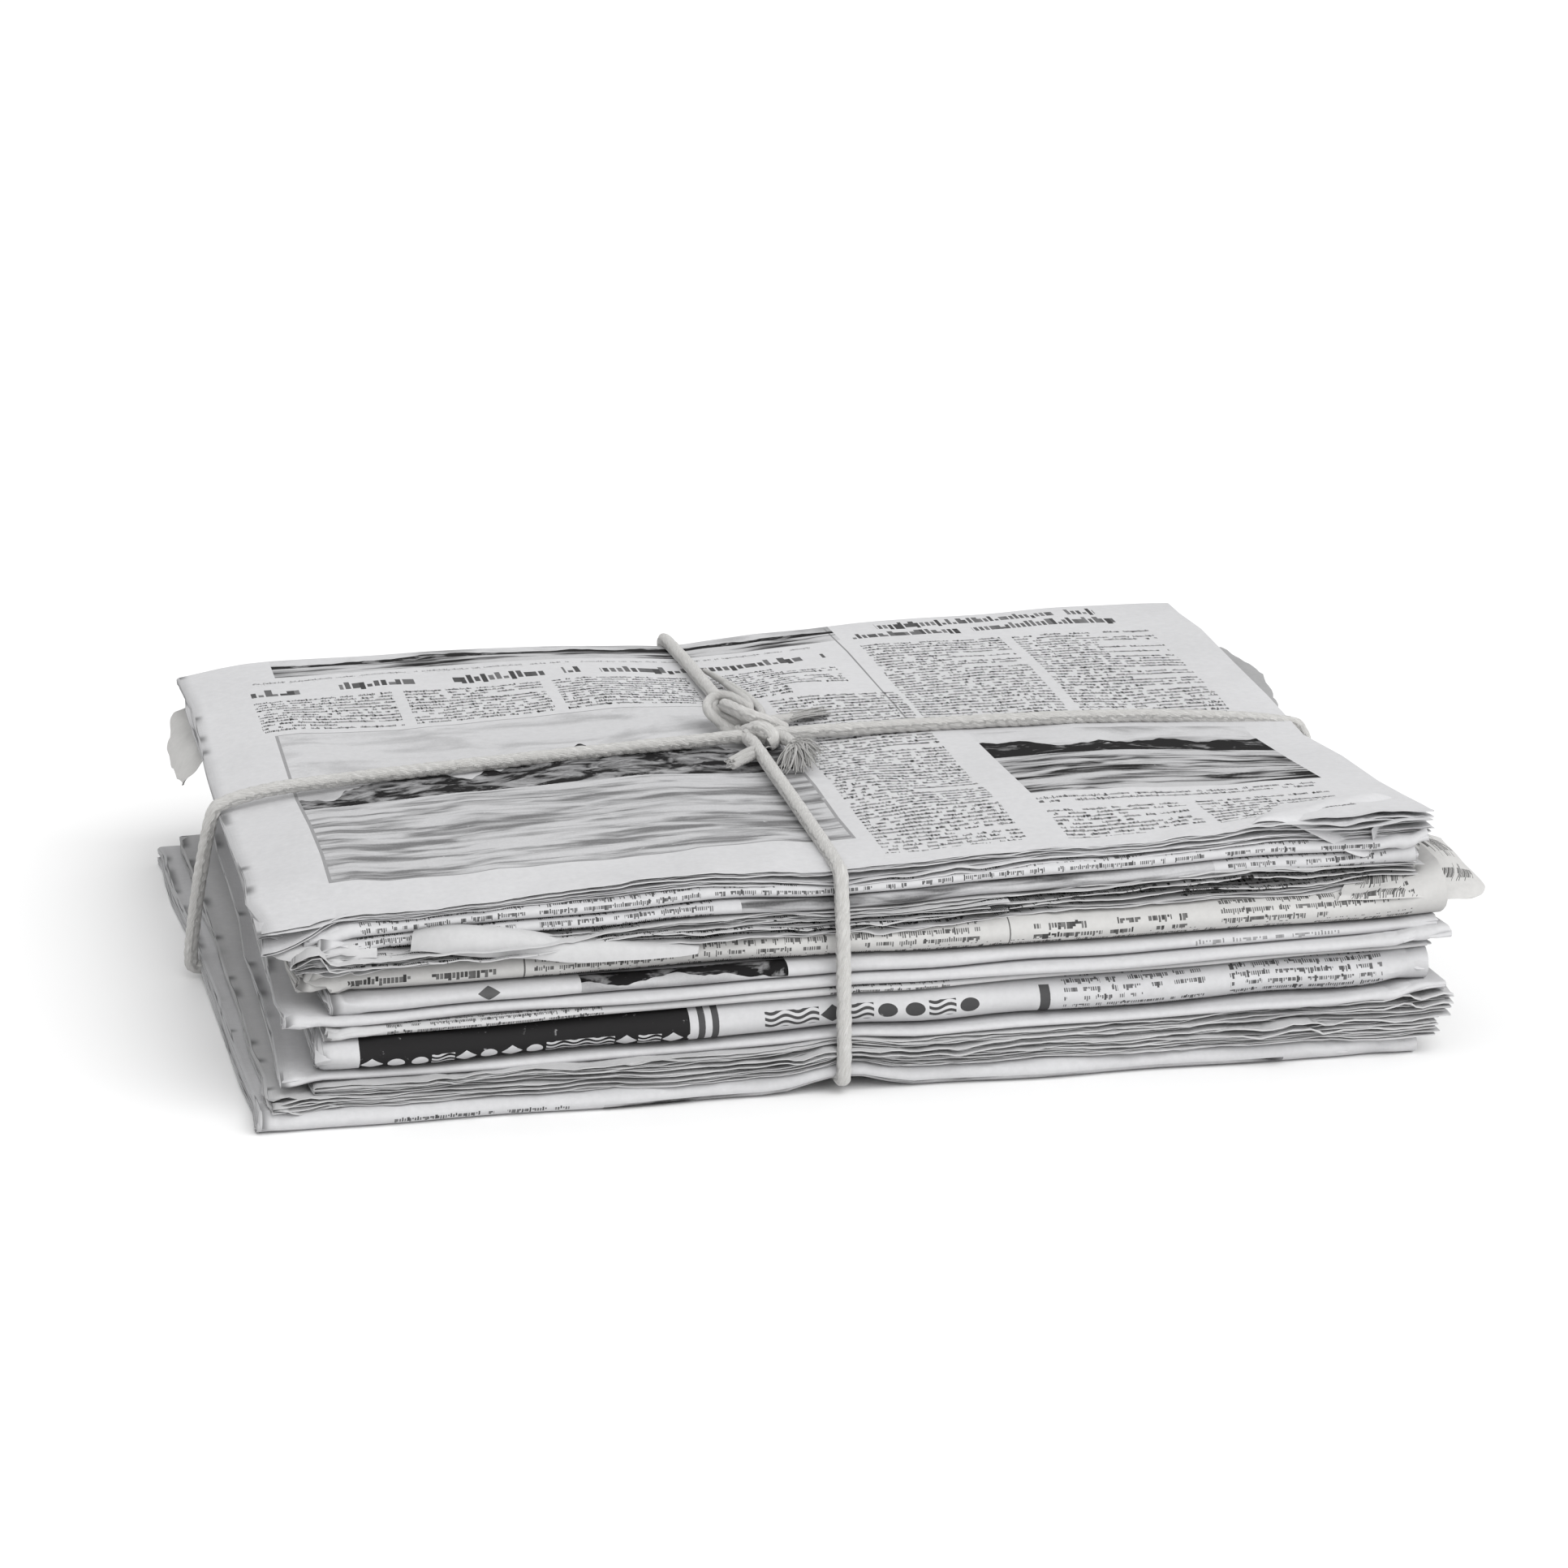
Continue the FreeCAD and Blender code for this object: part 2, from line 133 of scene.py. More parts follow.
# Loose leaves: places on the page (left, right, bottom, top), height of the crumples, and four
# rows of four points of the CAD source that the leaf passes through. Places near the spine take on the
# painted spine shade and come out darker.
LOOSE_LEAVES = {
    "newspaper_01_top": [
        ((335, 343, 150, 170), 0.5, (
            ((116.9, -143, 68.6), (131.7, -144.5, 69), (148.2, -146.5, 60.6), (153.6, -145.5, 67.6)),
            ((119.1, -140, 69.7), (134, -141, 71.2), (150.5, -141, 65.6), (160.6, -140, 69.3)),
            ((124.6, -134, 70.2), (139.3, -134, 71.8), (154.6, -134, 70.3), (169.2, -133, 66.6)),
            ((131.9, -124, 70.3), (146.8, -124, 71.6), (162, -124, 71.9), (178.8, -123, 64.2))))],
    "newspaper_04": [
        # Its page place lies in the grey painted-shade field of newspaper_04's print, so it comes out grey.
        ((402, 418, 2, 8), 0.6, (
            ((166, 38, 61), (171, 40, 61), (176.5, 39, 59.6), (180.6, 38, 57.6)),
            ((166, 60, 62.4), (172, 62, 63), (178, 62, 62.4), (183.4, 60, 61.4)),
            ((166, 82, 63.4), (172.5, 84, 64), (178, 83, 64), (182.6, 84, 63.4)),
            ((166, 106, 63.8), (170.6, 107, 64), (174.4, 108, 64), (178, 108, 63.4)))),
        ((2, 10, 2, 10), 0.35, (
            ((-127.1, -146.5, 53), (-105.7, -146.5, 53), (-83.8, -146.5, 48.9), (-46.3, -146, 44.6)),
            ((-128.1, -149.6, 52.2), (-107.2, -150.4, 52.2), (-84.1, -150, 47.6), (-46.6, -148.9, 44.4)),
            ((-128.7, -151.2, 50.1), (-109.7, -151.8, 49.6), (-84.3, -151.2, 45.1), (-46.8, -149.7, 43.7)),
            ((-129.2, -151, 47.7), (-116.7, -151.6, 46.9), (-84.4, -151.2, 42.8), (-46.9, -150, 42.6)))),
        ((2, 10, 2, 10), 0.9, (
            ((-166, -133, 50.6), (-158, -135, 51), (-149, -136, 50.6), (-138, -137, 50.2)),
            ((-166.6, -138, 50.2), (-158.4, -140, 50.8), (-149.4, -141, 50.2), (-138, -142, 49.8)),
            ((-167.2, -143, 48.6), (-158.8, -145, 49.2), (-149.8, -146, 49), (-138, -147, 48.6)),
            ((-165, -146, 46.6), (-157, -149, 46.4), (-149.8, -149, 46.8), (-138, -150, 46.6)))),
        ((2, 10, 2, 10), 1, (
            ((-160, -130, 48.2), (-154, -131, 48), (-146, -132, 47.8), (-132, -133, 47.6)),
            ((-162, -138, 48), (-154, -139, 47.6), (-146, -140, 47.4), (-132, -141, 47.2)),
            ((-163, -145, 46.8), (-155, -146, 46.8), (-146, -147, 46.4), (-130, -148, 46.2)),
            ((-160, -149, 44.8), (-152, -151, 45.2), (-144, -150, 44.6), (-126, -151, 44.4))))],
    "newspaper_05": [
        ((262, 334, -2.4, 8.2), 0.7, (
            ((142.7, -150.2, 47.6), (157.5, -150.6, 47.6), (174, -150, 46.6), (184.4, -147, 45)),
            ((144.8, -147, 50), (159.9, -147.6, 50.6), (176.5, -146.4, 50.2), (190.3, -142.4, 47.2)),
            ((147.8, -138, 51.4), (162.8, -139, 52.6), (178.6, -137, 54), (188.9, -131, 49.9)),
            ((150.5, -120, 51.2), (165.4, -122, 53.2), (176.1, -119, 57.4), (186.6, -113, 54.1)))),
        ((2, 10, 2, 10), 1.2, (
            ((-164, 62, 54), (-169, 58, 53), (-174, 56, 49), (-176.5, 58, 44)),
            ((-164, 84, 55), (-170, 82, 53.6), (-175, 80, 49), (-178, 82, 43)),
            ((-164, 106, 55.6), (-170, 106, 54), (-174.5, 108, 49.6), (-177, 110, 43.6)),
            ((-163, 128, 56), (-168, 130, 54.6), (-173, 134, 51), (-175, 136, 46))))],
}
WIDTH_CUTS, DEPTH_CUTS = 41, 25         # where the CAD's heights are read
JACKET = 0.3                  # thickness of the outermost leaves
JACKET_SHARE = 0.2            # its most in a thin newspaper, as a share of half its thickness
FOLD_PLACE = 0.03             # where the height of the fold is read, as a share of the depth
FOLD_LENGTH = 1.7             # length of the rounded fold, in half thicknesses
FOLD_INSIDE = 0.7             # how much shorter the fold of the innermost leaf is
ARC_STEPS = 9                 # rows of points round a fold
SPINE_STEPS = 5               # points round the edge of a bundle
PINK_PITCH = 2.4              # distance of the teeth of a cut edge
END_REACH = 26.0              # finely divided part of a sheet at each end
END_SPACING = 2.4             # distance of points there
LAST_STEP = 1.2               # distance of the last points before the cut edge
SHORT_SPACING = 5.0           # distance of points in a bundle that ends early
FOLD_WANDER = 0.8             # how far a fold or an open edge wanders to and fro
TAIL_SPREAD = 2.2             # how far leaf ends stand apart on the right
INNER_INSET = 0.8             # how far inner leaves lie behind the jacket on the right
MIDDLE_GAP = 0.12             # half the slit between the two halves of a newspaper
STRING_BED = 14.0             # from the string's middle to where the paper may wave again
THREAD_BED = 66.6             # lowest place of a loose thread
FLAT_SHARES = (0.05, 0.14, 0.28, 0.42, 0.56, 0.7, 0.82, 0.91, 0.965, 0.988, 1.0)

# String
STRING_DIAMETER = 4.4
STRING_LAY = 11.0             # length of one turn of its plies
STRING_STEP = 0.9             # distance of the points along it
STRING_SIDES = 24
STRING_SMOOTH = 60.0          # degrees

# Middle of the knot in the CAD, and the routes that the CAD's string follows
KNOT = (-5, -6, 68.4)
BED_Z = 2.45
FRONT, BACK, LEFT, RIGHT = -144.5, 144.5, -171.5, 171.5
LENGTHWISE_ROUTE = (
    (-5, -14.65, 68.4), (-4.6, FRONT + 1.3, 65.2), (-4.2, FRONT - 2.5, 61.4),
    (-5.6, FRONT - 14.2, 7), (-6, FRONT - 10.5, BED_Z), (-6, BACK - 14.4, BED_Z),
    (-6.1, BACK - 10.8, 6.8), (-6.4, BACK + 1.1, 63), (-6.2, BACK - 2.5, 67.6),
    (-5, 2.65, 68.4))
CROSSWISE_ROUTE = (
    (3.65, -6, 68.7), (RIGHT - 71.5, -4.5, 70.7), (RIGHT + 0.7, -3.2, 64.9),
    (RIGHT + 5.2, -3.2, 60.4), (RIGHT + 8.9, -3.8, 47), (RIGHT + 8.1, -5.8, 13.5),
    (RIGHT - 3, -6.2, BED_Z), (9.5, -6.1, BED_Z), (-2, -6.1, 7.1), (-9, -6.1, 7.1),
    (-20.5, -6.1, BED_Z), (LEFT - 7.2, -6.4, BED_Z), (LEFT - 10.2, -7.4, 5.7),
    (LEFT - 2.8, -16.8, 55), (LEFT + 1.5, -16.6, 58.8), (LEFT + 25.5, -14.4, 63.2),
    (-13.65, -6, 68.2))


# Strands of the knot: radius, taper at both ends, route
KNOT_STRANDS = (
    (2.2, (1, 1),
     ((-5, 6, 68.4), (-4.6, 0, 68.7), (-3.8, -6, 68.6), (-3, -9, 68.2))),
    (2.2, (1, 0.9),
     ((-5, -17, 68.4), (-5.4, -11, 68.6), (-6.2, -5, 68.9), (-7, 0, 69))),
    (2.2, (1, 0.9),
     ((-16, -6, 68.2), (-10, -6.2, 68.5), (-5, -8, 69), (-1.6, -10.6, 68.9), (0.2, -13, 68.2))),
    (2.3, (1, 0.9),
     ((7, -5.9, 68.8), (2, -5.8, 69.6), (-1.6, -6, 71), (-4, -7.4, 70.8), (-6, -8, 69.2))),
    (3, (0.8, 0.7),
     ((-5.6, -5, 69.6), (-3.4, -7.6, 71.2), (-1, -11, 71.6), (1, -14.6, 70.6), (1.2, -17, 69),
      (-0.4, -17, 68.4))),
    (2.3, (0.95, 0.8),
     ((-9.6, 10, 74.8), (-8.6, 5, 75.3), (-6.6, -0.5, 75), (-4.2, -3.6, 74.4),
      (-0.8, -4.8, 73.6), (3, -5.2, 72.2), (7.2, -3.4, 69.8))),
    (1.9, (0.9, 0.9),
     ((-12.6, 19, 72), (-11.8, 14, 71.6), (-10, 8, 71.2), (-7, 3, 70.8), (-3, 0.2, 70.2),
      (0.6, -4, 69.2))),
    (1.6, (1, 0.9),
     ((-6.4, -1.5, 68.2), (-9.8, 3, 69.4), (-12.6, 6, 71), (-14.8, 8.6, 72.8), (-15, 12.4, 74.2),
      (-13.2, 16.6, 75.3), (-10.6, 18.2, 76.2), (-7.6, 16.4, 76.6), (-5.2, 12.6, 76),
      (-3.2, 9.6, 75), (-1.6, 8.6, 73.4), (-1.4, 6, 71))),
    (1.5, (1, 0.9),
     ((-9.8, -1, 67.8), (-11, 4, 69), (-12.4, 9, 70.9), (-12.8, 14, 73), (-12, 17, 74.2),
      (-10, 19, 74.6), (-7.6, 17.6, 74.6), (-6.6, 13, 73.6), (-7, 9, 72))),
    (1.7, (0.5, 0.7),
     ((-2.4, 86, 67.9), (0.6, 72, 67.9), (3.2, 56, 68), (4.6, 42, 68.2), (5, 28, 68.6),
      (4.2, 18, 69), (1.6, 12.4, 69.6), (-2, 10, 70.4))),
    (1.5, (0.6, 0.7),
     ((0.2, 62, 68.8), (1.6, 48, 69.2), (2.2, 34, 69.8), (1.6, 24, 70.4), (-1, 17, 71.4),
      (-4, 12, 72.4))),
)
# Strands of the loose ends: the name of the end, then as above
TAIL_STRANDS = (
    ("tail_frayed", 1.9, (1, 0.8),
     ((1, 2, 70.4), (5, 5.4, 70.2), (9, 9.6, 69.4), (12.4, 12.8, 68.9))),
    ("tail_tassel", 2.1, (1, 0.7),
     ((1, -9, 69.6), (4.4, -14, 69.8), (5.6, -22, 70.2), (5.8, -29, 70))),
    ("tail_stub", 1.25, (1, 0.9),
     ((-5.2, -24, 67.6), (-8.2, -28.3, 68.3), (-11.6, -32, 68.4), (-15, -35, 67.7))),
    ("tail_stub", 1.2, (1, 0.85),
     ((-5.4, -22, 68.6), (-8.6, -26.8, 69.3), (-12.2, -31, 69), (-16.2, -33.6, 68))),
    ("tail_stub", 1.1, (1, 0.9),
     ((-5.6, -26, 67.4), (-9.6, -30.6, 67.6), (-13, -34.6, 67.6), (-15.6, -37.4, 67.2))),
)
# Loose threads of the knot: their number, root and its spread, places of their ends, and rise
KNOT_THREADS = (
    (9, (2.5, 60, 67.4), 0.8, ((3, 20, 67), (7, 28, 67)), 0.6),
    (1, (-3, -25.5, 69.6), 0.2, ((2.6, -23.5, 69), (2.8, -23, 69)), 0.4),
)
# The same for the loose ends, with the name of the end first
TAIL_THREADS = (
    ("tail_frayed", 70, (11, 11.5, 68.9), 0.9,
     ((21, 26, 67.4), (26, 23.5, 67.6), (27.5, 19, 67.4)), 0.8),
    ("tail_tassel", 120, (5.8, -28, 70.4), 1,
     ((-3.2, -40, 67), (-1.7, -47, 67), (1.8, -49, 67), (4.6, -47.7, 67), (8, -44.8, 67),
      (11.4, -34, 67.2), (13.2, -26, 67.4), (12, -19, 68)), 2.4),
    ("tail_stub", 16, (-14.6, -34.6, 67.8), 0.9,
     ((-17, -34.6, 67.2), (-16.8, -38.6, 67)), 0.3),
)


# Small tools

def settings():
    """What the user has set in the sidebar."""
    return bpy.context.scene.newspaper_stack


class Waves:
    """Smooth random unevenness over a surface, mostly between -1 and 1."""

    def __init__(self, dice, length, parts=5):
        self.parts = [(math.tau / (length * dice.uniform(0.6, 1.7)), dice.uniform(0, math.tau),
                       dice.uniform(0, math.tau)) for _ in range(parts)]

    def __call__(self, x, y=0.0):
        total = sum(np.sin(k * (x * math.cos(a) + y * math.sin(a)) + phase)
                    for k, a, phase in self.parts)
        return total / math.sqrt(len(self.parts))


def bell(distance, reach):
    """A smooth bump: 1 at no distance, near 0 past twice the reach."""
    return np.exp(-(distance / reach) ** 2)


def ramp(value, start, end):
    """A smooth step from 0 at the start to 1 at the end."""
    share = np.clip((value - start) / (end - start), 0.0, 1.0)
    return share * share * (3 - 2 * share)


def in_frame(point):
    """A point of the CAD source, in the frame: the frame is centred on the footprint."""
    low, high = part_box("string_knot")
    middle = (low + high) / 2 / MM
    return (point[0] + middle.x - KNOT[0], point[1] + middle.y - KNOT[1], point[2])


class Form:
    """Where the CAD has a newspaper: its edges in plan and the heights of its two faces."""

    def __init__(self, node):
        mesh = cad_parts[node].data
        points = [v.co / MM for v in mesh.vertices]
        tree = BVHTree.FromPolygons(points, [p.vertices for p in mesh.polygons])
        plan = np.array([(p.x, p.y) for p in points])
        corner = {(sx, sy): plan[np.argmax(plan @ (sx, sy))] for sx in (-1, 1) for sy in (-1, 1)}
        self.low_end = {sy: corner[(-1, sy)] for sy in (-1, 1)}
        self.high_end = {sy: corner[(1, sy)] for sy in (-1, 1)}
        self.width, self.depth = (
            float(np.mean([np.linalg.norm(corner[b] - corner[a]) for a, b in pairs]))
            for pairs in ((((-1, -1), (1, -1)), ((-1, 1), (1, 1))),
                          (((-1, -1), (-1, 1)), ((1, -1), (1, 1)))))
        self.along = np.linspace(0.016, 0.984, WIDTH_CUTS)
        self.across = np.linspace(0.035, 0.965, DEPTH_CUTS)
        self.edges = {-1: np.zeros(WIDTH_CUTS), 1: np.zeros(WIDTH_CUTS)}
        middle = np.mean([p.z for p in points])
        spread = max(p.z for p in points) - min(p.z for p in points)
        for side in (-1, 1):
            for i, u in enumerate(self.along):
                x = self.low_end[side][0] * (1 - u) + self.high_end[side][0] * u
                hits = []
                for step in range(-14, 15):
                    start = Vector((x, side * 400.0, middle + step / 28 * spread))
                    hit = tree.ray_cast(start, Vector((0, -side, 0)))[0]
                    if hit is not None:
                        hits.append(hit.y)
                hits = hits or [corner[(1, side)][1]]
                self.edges[side][i] = max(hits) if side > 0 else min(hits)
        shape = (len(self.along), len(self.across))
        self.low, self.high = np.zeros(shape), np.zeros(shape)
        for i, u in enumerate(self.along):
            for j, w in enumerate(self.across):
                x, y = (float(c) for c in self.plan(u, w))
                up = tree.ray_cast(Vector((x, y, -50.0)), Vector((0, 0, 1)))[0]
                down = tree.ray_cast(Vector((x, y, 150.0)), Vector((0, 0, -1)))[0]
                self.low[i, j] = up.z if up else middle
                self.high[i, j] = down.z if down else middle

    def plan(self, u, w):
        """The place in plan at a share of the width and a share of the way to the back."""
        u, w = np.broadcast_arrays(np.asarray(u, float), np.asarray(w, float))
        xs, ys = {}, {}
        for side in (-1, 1):
            xs[side] = self.low_end[side][0] * (1 - u) + self.high_end[side][0] * u
            ys[side] = self.extended(u, self.edges[side])
        return xs[-1] * (1 - w) + xs[1] * w, ys[-1] * (1 - w) + ys[1] * w

    def extended(self, u, values):
        """Values along the width, carried on in a line past the two ends."""
        inside = np.interp(u, self.along, values)
        start = (values[1] - values[0]) / (self.along[1] - self.along[0])
        end = (values[-1] - values[-2]) / (self.along[-1] - self.along[-2])
        inside = inside + np.minimum(u - self.along[0], 0) * start
        return inside + np.maximum(u - self.along[-1], 0) * end

    def heights(self, u, w):
        """Heights of the lower and the upper face."""
        u, w = np.broadcast_arrays(np.asarray(u, float), np.asarray(w, float))
        a = (u - self.along[0]) / (self.along[1] - self.along[0])
        b = (w - self.across[0]) / (self.across[1] - self.across[0])
        i = np.clip(np.floor(a).astype(int), 0, len(self.along) - 2)
        j = np.clip(np.floor(b).astype(int), 0, len(self.across) - 2)
        a, b = a - i, b - j

        def blend(grid):
            return ((grid[i, j] * (1 - a) + grid[i + 1, j] * a) * (1 - b)
                    + (grid[i, j + 1] * (1 - a) + grid[i + 1, j + 1] * a) * b)
        return blend(self.low), blend(self.high)


def grid_piece(name, points, page, rim):
    """A mesh from a primitive grid whose points are moved to their places.

    points and page are arrays of rows x columns x 3; rim tells which cells are a cut edge.
    """
    rows, columns = points.shape[:2]
    bpy.ops.mesh.primitive_grid_add(x_subdivisions=columns - 1, y_subdivisions=rows - 1, size=2)
    piece = bpy.context.active_object
    piece.name = piece.data.name = name
    mesh = piece.data
    assert len(mesh.vertices) == rows * columns
    mesh.vertices.foreach_set("co", (points.reshape(-1) * MM).astype(np.float32))
    layer = mesh.attributes.new("page", "FLOAT_VECTOR", "POINT")
    layer.data.foreach_set("vector", page.reshape(-1).astype(np.float32))
    first = np.empty(len(mesh.loops), np.int32)
    mesh.loops.foreach_get("vertex_index", first)
    first = first.reshape(-1, 4).min(axis=1)
    mesh.polygons.foreach_set("material_index", rim[first // columns, first % columns].astype(np.int32))
    mesh.update()
    return piece


def only(*pieces):
    """Selects these pieces and nothing else."""
    bpy.ops.object.select_all(action="DESELECT")
    for piece in pieces:
        piece.select_set(True)
    bpy.context.view_layer.objects.active = pieces[0]


def joined(name, pieces, angle=35.0):
    """One piece out of several, welded, with its edges smooth up to an angle in degrees."""
    only(*pieces)
    if len(pieces) > 1:
        bpy.ops.object.join()
    piece = bpy.context.active_object
    piece.name = piece.data.name = name
    bpy.ops.object.mode_set(mode="EDIT")
    bpy.ops.mesh.select_all(action="SELECT")
    bpy.ops.mesh.remove_doubles(threshold=0.000002)
    bpy.ops.mesh.normals_make_consistent(inside=False)
    bpy.ops.object.mode_set(mode="OBJECT")
    bpy.ops.object.shade_smooth_by_angle(angle=math.radians(angle))
    return piece


def finished(piece, slot, materials, *nodes):
    """Gives a piece its materials and its body, and hides the CAD nodes that it stands for. Its slot is not
    used.
    """
    piece.data.materials.clear()
    for material in materials:
        piece.data.materials.append(material)
    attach(piece, "root")
    if nodes:
        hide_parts(*nodes)
    return piece


# Newspapers

def wrap(stations, centre, radius, reach):
    """A line in along one face, round the spine and out along the other face."""
    angles = [math.pi * (step / (SPINE_STEPS + 1) - 0.5) for step in range(1, SPINE_STEPS + 1)]
    line = [(u, centre - radius) for u in stations[::-1]]
    line += [(reach - radius * math.cos(a), centre + radius * math.sin(a)) for a in angles]
    return line + [(u, centre + radius) for u in stations]


def outline(width, spacing, near, far, wall=None, short=None):
    """The closed outline of a leaf bundle, and the line in the middle of its thickness."""
    centre, radius = (near + far) / 2, (far - near) / 2
    if short:
        stations = list(np.arange(radius, short - radius, SHORT_SPACING)) + [short - radius]
        outer, middle = wrap(stations, centre, radius, radius), wrap(stations, centre, 0.0, radius)
        angles = [math.pi * (0.5 - step / (SPINE_STEPS + 1)) for step in range(1, SPINE_STEPS + 1)]
        turn = [(short - radius + radius * math.cos(a), centre + radius * math.sin(a)) for a in angles]
        return outer + turn + outer[:1], middle + [(u, centre) for u, _ in turn] + middle[:1]
    fine = min(spacing, END_SPACING)
    parts = [(radius, END_REACH, fine), (END_REACH, width - END_REACH, spacing),
             (width - END_REACH, width - LAST_STEP, fine)]
    stations = [u for start, end, step in parts
                for u in np.linspace(start, end, round((end - start) / step), endpoint=False)]
    stations += [width - LAST_STEP, width]
    outer = wrap(stations, centre, radius, radius)
    if wall is None:
        middle = wrap(stations, centre, 0.0, radius)
        return [middle[0]] + outer + [middle[-1]], [middle[0]] + middle + [middle[-1]]
    inner = wrap(stations, centre, radius - wall, radius)[::-1]
    middle = wrap(stations, centre, radius - wall / 2, radius)
    loop = [middle[0]] + outer + [middle[-1]] + inner + [middle[0]]
    return loop, [middle[0]] + middle + [middle[-1]] + middle[::-1] + [middle[0]]


class Bundle:
    """One leaf bundle of a newspaper, swept along the folded sheet."""

    def __init__(self, form, look, dice, index, near, far, wall=None):
        self.form, self.look, self.index = form, look, index
        self.crumples = Waves(dice, 15.0, 7), Waves(dice, 12.0, 7)
        self.tail = dice.uniform(-1, 1)
        self.thick = float(np.mean(form.high - form.low)) / 2
        loop, middle = outline(form.width, look["spacing"], near, far, wall,
                               look.get("short", {}).get(index))
        self.loop, self.middle = np.array(loop), np.array(middle)
        self.end_waves = [(Waves(dice, 34.0), Waves(dice, 6.0), dice.uniform(-1, 1)) for _ in "bt"]
        self.cut_waves = Waves(dice, 30.0), dice.uniform(-1, 1)
        self.lift = Waves(dice, 55.0), Waves(dice, 17.0)
        calm = random.Random(settings().seed)
        self.sheet_waves = Waves(calm, 62.0), Waves(calm, 27.0)
        self.stagger = 0.0 if near == 0 else 1.0

    def end(self, u, half):
        """How long the sheet is from the fold to its edge, at places along the width."""
        long_waves, short_waves, shift = self.end_waves[0 if half < 0 else 1]
        ragged = self.look["ragged"]
        length = self.form.depth + self.stagger * ragged * (0.9 * shift - 0.2)
        length = length + ragged * (0.35 * long_waves(u) + 0.16 * short_waves(u))
        if self.look["pinked"]:
            tooth = np.abs(((u / PINK_PITCH + shift) % 1.0) - 0.5) * 2
            length = length + self.look["pinked"] * (tooth - 0.5)
        return length

    def bend(self, u, q, path, half):
        """How far the bends of this bundle move its points: to the right, back and up."""
        moves = [0.0, 0.0, 0.0]
        outwards = 1 if self.look["fold"] == "back" else -1
        for first, last, side, at_u, reach_u, at_q, reach_q, rise, push, crumple in self.look["bends"]:
            if first <= self.index <= last:
                reach = bell(u - at_u, reach_u) * bell(q - at_q * self.form.depth, reach_q)
                reach = reach * (1.0 if side == 0 else (1 + side * half) / 2)
                wrinkle, other = (waves(u, path) for waves in self.crumples)
                moves[0] = moves[0] + crumple * 0.6 * reach * other
                moves[1] = moves[1] - outwards * reach * (push + crumple * 0.7 * wrinkle)
                moves[2] = moves[2] + reach * (rise + crumple * 0.6 * (wrinkle + other))
        return moves

    def row(self, line, half, share=None, angle=None):
        """The points of one row of the sweep, and their places on the page."""
        u, depth = line[:, 0], line[:, 1]
        fold_front = self.look["fold"] == "front"
        along = u / self.form.width
        fold_w = FOLD_PLACE if fold_front else 1 - FOLD_PLACE
        low, high = self.form.heights(along, fold_w)
        fold_half = (high - low) / 2
        part = np.clip(depth / self.thick, 0.0, 1.0)
        start = FOLD_LENGTH * fold_half
        reach = fold_half * (FOLD_LENGTH - FOLD_INSIDE * part)
        quarter = math.pi / 2 * np.sqrt((reach ** 2 + (fold_half * (1 - part)) ** 2) / 2)
        if angle is None:
            q = start + (self.end(u, half) - start) * share
            rise, path = half, half * (quarter + q - start)
        else:
            q = start - reach * math.cos(angle)
            rise, path = math.sin(angle), quarter * angle / (math.pi / 2)
        w = q / self.form.depth if fold_front else 1 - q / self.form.depth
        cut_waves, cut_shift = self.cut_waves
        cut = self.look["ragged"] * (self.stagger * cut_shift * 0.6 + 0.4 * cut_waves(path))
        cut = cut + (TAIL_SPREAD * self.tail - INNER_INSET) * self.stagger
        x, y = self.form.plan(along + cut / self.form.width * ramp(along, 0.6, 1.0), w)
        low, high = self.form.heights(np.clip(along, 0, 1), w)
        z = (low + high) / 2 + (high - low) / 2 * (1 - part) * rise
        if share is not None:
            open_edge = ramp(share, 0.86, 1.0)
            side_edge = np.maximum(ramp(along, 0.93, 1.0), 0.5 * ramp(along, 0.06, 0.0))
            strength = self.look["flutter"] * (0.12 + np.maximum(open_edge, side_edge))
            z = z + strength * (0.7 * self.lift[0](u, path) + 0.5 * self.lift[1](u, path))
            if half > 0 and "waves" in self.look:
                large, small = (waves(u, 0.7 * path) for waves in self.sheet_waves)
                calm = ramp(share, 0.0, 0.12) * ramp(along, 0.0, 0.06)
                z = z + self.look["waves"] * calm * (0.55 * large + 0.25 * small + 0.35)
        moves = self.bend(u, q, path, half if angle is None else math.sin(angle))
        free = 1 - np.maximum(bell(x, STRING_BED), bell(y, STRING_BED))
        wander = FOLD_WANDER * self.look["wander"](u) * free * bell(w - (w > 0.5), 0.12)
        spine = ramp(along, 0.09, 0.0)
        x = x + moves[0] + spine * (0.8 * self.look["spine"](path) - 0.3)
        y = y + moves[1] + wander
        settle = settings().settling / MM * self.look["settle"](x, y)
        z = z + moves[2] + settle * free * ramp(z, 3.0, 30.0)
        z = z + spine * 0.25 * self.look["spine"](path, 40.0)
        z = np.maximum(z, 0.03 + 0.1 * depth)
        return np.stack([x, y, z], axis=1), np.stack([u, path, depth], axis=1)

    def rows(self):
        """All rows of the sweep, from the lower edge round the fold to the upper edge."""
        steps = [(-1, share, None) for share in FLAT_SHARES[::-1]] + [(-1, 0.0, None)]
        for step in range(1, ARC_STEPS + 1):
            steps.append((0, None, math.pi * (step / (ARC_STEPS + 1) - 0.5)))
        steps += [(1, 0.0, None)] + [(1, share, None) for share in FLAT_SHARES]
        made = [self.row(self.middle, -1, 1.0)]
        made += [self.row(self.loop, half, share, angle) for half, share, angle in steps]
        return made + [self.row(self.middle, 1, 1.0)]

    def piece(self, name):
        """The bundle as a closed mesh: material 0 on its faces and 1 on its cut edges."""
        made = self.rows()
        points = np.stack([p for p, _ in made])
        page = np.stack([g for _, g in made])
        rim = np.zeros(points.shape[:2], bool)
        rim[0, :] = rim[len(made) - 2, :] = True
        at_cut = self.loop[:, 0] >= self.form.width - 0.01
        rim[:, :-1] |= at_cut[:-1] & at_cut[1:]
        return grid_piece(name, points, page, rim)


